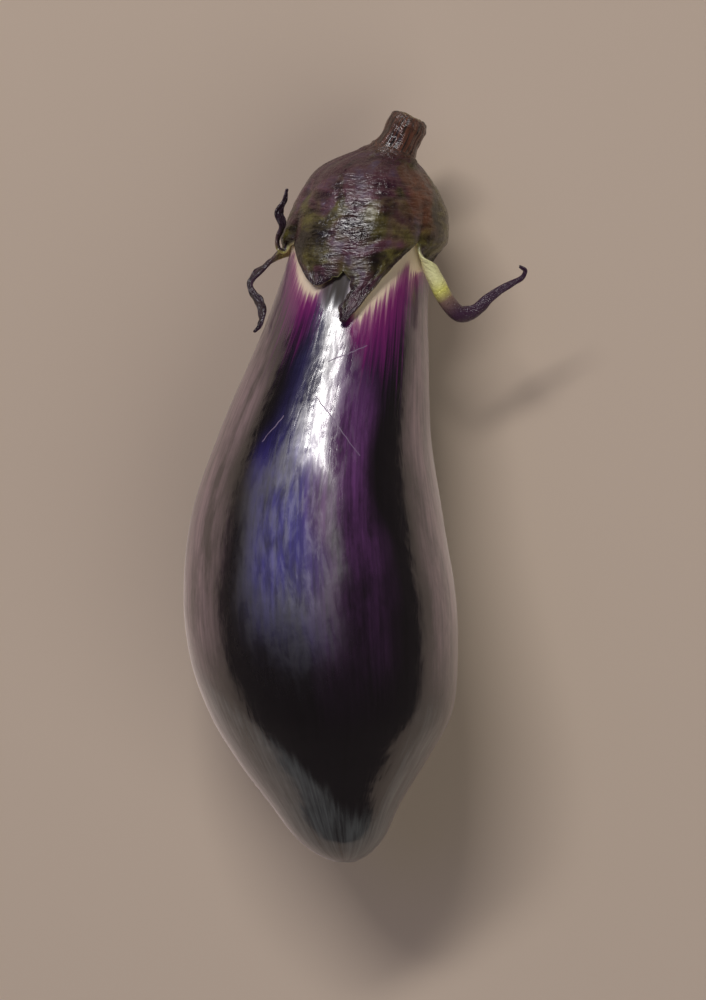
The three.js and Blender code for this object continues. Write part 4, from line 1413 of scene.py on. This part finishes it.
object_place = add(tree, "ShaderNodeTexCoord").outputs["Object"]
waves = add(
    tree,
    "ShaderNodeTexNoise",
    {"Vector": object_place, "Scale": 1 / (WAVE_MM * MM), "Detail": 1.5},
)
centred = add(
    tree, "ShaderNodeVectorMath", {0: waves.outputs["Color"], 1: (0.5, 0.5, 0.5)}, operation="SUBTRACT"
)
wavered = add(
    tree,
    "ShaderNodeVectorMath",
    {0: centred.outputs["Vector"], 1: (SCRATCH_WAVER,) * 3, 2: object_place},
    operation="MULTIPLY_ADD",
)
flat_place = add(
    tree, "ShaderNodeVectorMath", {0: wavered.outputs["Vector"], 1: (1, 1, 0)}, operation="MULTIPLY"
)
strokes_seen = []
for start, end in SCRATCHES:
    start, end = Vector((*start, 0)), Vector((*end, 0))
    length_squared = (end - start).length_squared
    from_start = add(
        tree, "ShaderNodeVectorMath", {0: flat_place.outputs["Vector"], 1: start}, operation="SUBTRACT"
    )
    down_line = add(
        tree,
        "ShaderNodeVectorMath",
        {0: from_start.outputs["Vector"], 1: (end - start) / length_squared},
        operation="DOT_PRODUCT",
    )
    between_ends = add(tree, "ShaderNodeClamp", {"Value": down_line.outputs["Value"]})
    on_line = add(
        tree,
        "ShaderNodeVectorMath",
        {0: end - start, "Scale": between_ends.outputs["Result"]},
        operation="SCALE",
    )
    off_line = add(
        tree,
        "ShaderNodeVectorMath",
        {0: from_start.outputs["Vector"], 1: on_line.outputs["Vector"]},
        operation="DISTANCE",
    )
    line = add(
        tree,
        "ShaderNodeMapRange",
        {"Value": off_line.outputs["Value"], "From Max": SCRATCH_HALF, "To Min": 1, "To Max": 0},
    )
    strokes_seen.append(line.outputs["Result"])
scratched = strokes_seen[0]
for line in strokes_seen[1:]:
    scratched = add(tree, "ShaderNodeMath", {0: scratched, 1: line}, operation="MAXIMUM").outputs["Value"]
above_floor = add(tree, "ShaderNodeSeparateXYZ", {"Vector": object_place}).outputs["Z"]
upper = add(tree, "ShaderNodeMath", {0: above_floor, 1: SCRATCHED_ABOVE}, operation="GREATER_THAN")
scratched = add(tree, "ShaderNodeMath", {0: scratched, 1: upper.outputs["Value"]}, operation="MULTIPLY")
print(len(SCRATCHES), "scratches", round(2 * SCRATCH_HALF / MM, 2), "mm wide")

# %% [markdown]
# The shader takes it all together. The waves and the worn patches also tilt the light a little; they
# are too shallow to model as points, so they are drawn as bump. The sheen stands for the dust of fine
# wax that pales a fruit where it is seen edge-on.

# %% Skin shader
SCRATCH_TINT = "#7c6484"
SCRATCH_DULLNESS = 0.75
WAVE_HEIGHT = 0.13 * MM
WEAR_HEIGHT = 0.07 * MM

scratched_dullness = add(
    tree,
    "ShaderNodeMix",
    {0: scratched.outputs["Value"], 2: dullness.outputs["Value"], 3: SCRATCH_DULLNESS},
)
scratched_skin = add(
    tree,
    "ShaderNodeMix",
    {
        MIX_FACTOR: scratched.outputs["Value"],
        MIX_A: cork.outputs[MIX_RESULT],
        MIX_B: colour(SCRATCH_TINT),
    },
    data_type="RGBA",
)
wave_bump = add(
    tree,
    "ShaderNodeBump",
    {"Height": waves.outputs["Fac"], "Strength": 1, "Distance": WAVE_HEIGHT},
)
wear_bump = add(
    tree,
    "ShaderNodeBump",
    {
        "Height": wear.outputs["Fac"],
        "Strength": 1,
        "Distance": WEAR_HEIGHT,
        "Normal": wave_bump.outputs["Normal"],
    },
)
skin_shader = add(
    tree,
    "ShaderNodeBsdfPrincipled",
    {
        "Base Color": scratched_skin.outputs[MIX_RESULT],
        "Roughness": scratched_dullness.outputs[0],
        "IOR": 2,
        "Sheen Weight": 1,
        "Sheen Roughness": 0.35,
        "Sheen Tint": colour("#e0d4d2"),
        "Normal": wear_bump.outputs["Normal"],
    },
)
add(tree, "ShaderNodeOutputMaterial", {"Surface": skin_shader.outputs["BSDF"]})
skin.data.materials.append(skin_wax)
print("skin material:", len(tree.nodes), "nodes")

# %% [markdown]
# ### Calyx and stem
# Real thing: a leathery green cup that browns and purples as it dries. Its ridges have worn smooth
# and catch the light. Its fine hairs are too small to show here. Green and purple flesh lie in
# blotches, and the valleys between the folds are darkened with painted shade.

# %% Flesh of the calyx
BLOTCH_MM = 6
TURNING_MM = 11
RUSSET_TINT = "#6c4430"
FOLD_SHADE_STRENGTH = 0.8

calyx_leather, tree = new_material("drying_calyx_leather")
around_place = add(tree, "ShaderNodeAttribute", attribute_name="around").outputs["Vector"]
fold_height = add(tree, "ShaderNodeAttribute", attribute_name="folds").outputs["Fac"]
purple_leaning = add(tree, "ShaderNodeAttribute", attribute_name="purpled").outputs["Fac"]
russet_mask = add(tree, "ShaderNodeAttribute", attribute_name="russet").outputs["Fac"]
blotches = add(
    tree,
    "ShaderNodeTexNoise",
    {"Vector": around_place, "Scale": 1 / BLOTCH_MM, "Detail": 4, "Roughness": 0.6},
)
green_flesh = add(
    tree,
    "ShaderNodeValToRGB",
    {"Fac": blotches.outputs["Fac"]},
    stops=((0.3, "#261e19"), (0.45, "#423b25"), (0.57, "#6b6431"), (0.72, "#47442c")),
)
purple_flesh = add(
    tree,
    "ShaderNodeValToRGB",
    {"Fac": blotches.outputs["Fac"]},
    stops=((0.3, "#2a1524"), (0.44, "#522d3b"), (0.55, "#643f4a"), (0.7, "#604c68")),
)
turning = add(
    tree,
    "ShaderNodeTexNoise",
    {"Vector": around_place, "Scale": 1 / TURNING_MM, "Detail": 2, "Distortion": 0.6},
)
pushed = add(tree, "ShaderNodeMath", {0: turning.outputs["Fac"], 1: purple_leaning}, operation="ADD")
turned = add(
    tree,
    "ShaderNodeMapRange",
    {"Value": pushed.outputs["Value"], "From Min": 0.44, "From Max": 0.56},
)
two_fleshes = add(
    tree,
    "ShaderNodeMix",
    {
        MIX_FACTOR: turned.outputs["Result"],
        MIX_A: green_flesh.outputs["Color"],
        MIX_B: purple_flesh.outputs["Color"],
    },
    data_type="RGBA",
)
flesh = add(
    tree,
    "ShaderNodeMix",
    {MIX_FACTOR: russet_mask, MIX_A: two_fleshes.outputs[MIX_RESULT], MIX_B: colour(RUSSET_TINT)},
    data_type="RGBA",
)
# painted shade: the valleys between the folds are darkened in the colour
fold_level = add(tree, "ShaderNodeMath", {0: fold_height, 1: 0.5}, operation="ADD")
fold_shade = add(
    tree,
    "ShaderNodeValToRGB",
    {"Fac": fold_level.outputs["Value"]},
    stops=((0.25, "#6f6468"), (0.6, "#c8bfc0"), (0.85, "#ffffff")),
)
fold_shaded_flesh = add(
    tree,
    "ShaderNodeMix",
    {MIX_FACTOR: FOLD_SHADE_STRENGTH, MIX_A: flesh.outputs[MIX_RESULT], MIX_B: fold_shade.outputs["Color"]},
    data_type="RGBA",
    blend_type="MULTIPLY",
)
print("blotches", BLOTCH_MM, "mm wide")

# %% [markdown]
# What has dried shows its fibres: the ends of the lobes, and the bark of the stem. The cut through
# the stem shows the pale pith, and the inner face of a lobe is smooth and pale yellow-green until it
# dries too. Each lies over the last where its mark says so.

# %% Dried flesh, bark, inner face and cut
FIBRE_WIDTH_MM = 0.7
FIBRE_LENGTH_MM = 9
EDGE_TINT = "#341e31"

inner_mask = add(tree, "ShaderNodeAttribute", attribute_name="inner").outputs["Fac"]
dry_mask = add(tree, "ShaderNodeAttribute", attribute_name="dry").outputs["Fac"]
bark_mask = add(tree, "ShaderNodeAttribute", attribute_name="bark").outputs["Fac"]
cut_mask = add(tree, "ShaderNodeAttribute", attribute_name="cut").outputs["Fac"]
edge_mask = add(tree, "ShaderNodeAttribute", attribute_name="edge").outputs["Fac"]
fibre_place = add(
    tree,
    "ShaderNodeMapping",
    {
        "Vector": around_place,
        "Scale": (1 / FIBRE_WIDTH_MM, 1 / FIBRE_WIDTH_MM, 1 / FIBRE_LENGTH_MM),
    },
)
fibre_grain = add(
    tree,
    "ShaderNodeTexNoise",
    {"Vector": fibre_place.outputs["Vector"], "Scale": 1, "Detail": 4, "Roughness": 0.65},
)
dried_flesh = add(
    tree,
    "ShaderNodeValToRGB",
    {"Fac": fibre_grain.outputs["Fac"]},
    stops=((0.3, "#1d1219"), (0.55, "#33202d"), (0.75, "#5a4257")),
)
bark_colour = add(
    tree,
    "ShaderNodeValToRGB",
    {"Fac": fibre_grain.outputs["Fac"]},
    stops=((0.3, "#1b1317"), (0.45, "#3d312b"), (0.57, "#6a3f30"), (0.7, "#6f6350")),
)
with_edge = add(
    tree,
    "ShaderNodeMix",
    {MIX_FACTOR: edge_mask, MIX_A: fold_shaded_flesh.outputs[MIX_RESULT], MIX_B: colour(EDGE_TINT)},
    data_type="RGBA",
)
outer_face = add(
    tree,
    "ShaderNodeMix",
    {MIX_FACTOR: dry_mask, MIX_A: with_edge.outputs[MIX_RESULT], MIX_B: dried_flesh.outputs["Color"]},
    data_type="RGBA",
)
with_bark = add(
    tree,
    "ShaderNodeMix",
    {MIX_FACTOR: bark_mask, MIX_A: outer_face.outputs[MIX_RESULT], MIX_B: bark_colour.outputs["Color"]},
    data_type="RGBA",
)
inner_face = add(
    tree,
    "ShaderNodeValToRGB",
    {"Fac": dry_mask},
    stops=((0, "#fbf9b8"), (0.3, "#efeb7a"), (0.65, "#8a6f62"), (1, "#43293f")),
)
with_inner = add(
    tree,
    "ShaderNodeMix",
    {MIX_FACTOR: inner_mask, MIX_A: with_bark.outputs[MIX_RESULT], MIX_B: inner_face.outputs["Color"]},
    data_type="RGBA",
)
cut_colour = add(
    tree,
    "ShaderNodeValToRGB",
    {"Fac": fibre_grain.outputs["Fac"]},
    stops=((0.3, "#5e4a30"), (0.5, "#93794e"), (0.7, "#b8a274")),
)
with_cut = add(
    tree,
    "ShaderNodeMix",
    {MIX_FACTOR: cut_mask, MIX_A: with_inner.outputs[MIX_RESULT], MIX_B: cut_colour.outputs["Color"]},
    data_type="RGBA",
)

print("nodes so far:", len(tree.nodes))

# %% [markdown]
# Three kinds of relief are finer than the mesh, so they are drawn as bump: wrinkles across, fibres
# along, and specks. The wax of a leaf has an index of refraction near 1.5; here it is set a little
# higher, for the bright ridges. The dullness varies with the blotches.

# %% Surface of the calyx
WRINKLE_MM = 0.9
WRINKLE_PULL = 4  # how much longer than high a wrinkle is
SPECK_MM = 0.5
WRINKLE_BUMP, FIBRE_BUMP, SPECK_BUMP = 0.5 * MM, 0.2 * MM, 0.12 * MM

wrinkle_place = add(
    tree,
    "ShaderNodeMapping",
    {
        "Vector": around_place,
        "Scale": (1 / WRINKLE_PULL / WRINKLE_MM, 1 / WRINKLE_PULL / WRINKLE_MM, 1 / WRINKLE_MM),
    },
)
wrinkles = add(
    tree,
    "ShaderNodeTexNoise",
    {"Vector": wrinkle_place.outputs["Vector"], "Scale": 1, "Detail": 3, "Distortion": 0.8},
)
wrinkle_bump = add(
    tree,
    "ShaderNodeBump",
    {"Height": wrinkles.outputs["Fac"], "Strength": 1, "Distance": WRINKLE_BUMP},
)
fibre_bump = add(
    tree,
    "ShaderNodeBump",
    {
        "Height": fibre_grain.outputs["Fac"],
        "Strength": 0.5,
        "Distance": FIBRE_BUMP,
        "Normal": wrinkle_bump.outputs["Normal"],
    },
)
specks = add(tree, "ShaderNodeTexNoise", {"Vector": around_place, "Scale": 1 / SPECK_MM, "Detail": 2})
speck_bump = add(
    tree,
    "ShaderNodeBump",
    {
        "Height": specks.outputs["Fac"],
        "Strength": 0.4,
        "Distance": SPECK_BUMP,
        "Normal": fibre_bump.outputs["Normal"],
    },
)
calyx_dullness = add(
    tree,
    "ShaderNodeMapRange",
    {"Value": blotches.outputs["Fac"], "From Min": 0.35, "From Max": 0.65, "To Min": 0.14, "To Max": 0.36},
)
calyx_shader = add(
    tree,
    "ShaderNodeBsdfPrincipled",
    {
        "Base Color": with_cut.outputs[MIX_RESULT],
        "Roughness": calyx_dullness.outputs["Result"],
        "IOR": 1.7,
        "Normal": speck_bump.outputs["Normal"],
    },
)
add(tree, "ShaderNodeOutputMaterial", {"Surface": calyx_shader.outputs["BSDF"]})
calyx.data.materials.append(calyx_leather)
print("calyx material:", len(tree.nodes), "nodes")

# %% [markdown]
# ### The floor
# A sheet of matt board, pale and plain. It is large enough for the fruit to mirror nothing but board
# along its flanks.

# %% Floor
FLOOR_HALF = 6
BOARD_TINT = "#d3c1ae"

floor_mesh = bpy.data.meshes.new("floor")
corners = [(x * FLOOR_HALF, y * FLOOR_HALF, 0) for x, y in ((-1, -1), (1, -1), (1, 1), (-1, 1))]
floor_mesh.from_pydata(corners, [], [(0, 1, 2, 3)])
floor = shown(floor_mesh, "floor")
matt_board, tree = new_material("matt_board")
board = add(
    tree,
    "ShaderNodeBsdfPrincipled",
    {"Base Color": colour(BOARD_TINT), "Roughness": 0.9, "IOR": 1.3},
)
add(tree, "ShaderNodeOutputMaterial", {"Surface": board.outputs["BSDF"]})
floor_mesh.materials.append(matt_board)
print("floor", 2 * FLOOR_HALF, "m wide")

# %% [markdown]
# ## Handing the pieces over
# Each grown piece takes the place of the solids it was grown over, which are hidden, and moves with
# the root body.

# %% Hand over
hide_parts("fruit")
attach(skin, "root")
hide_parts("calyx", "stem")
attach(calyx, "root")
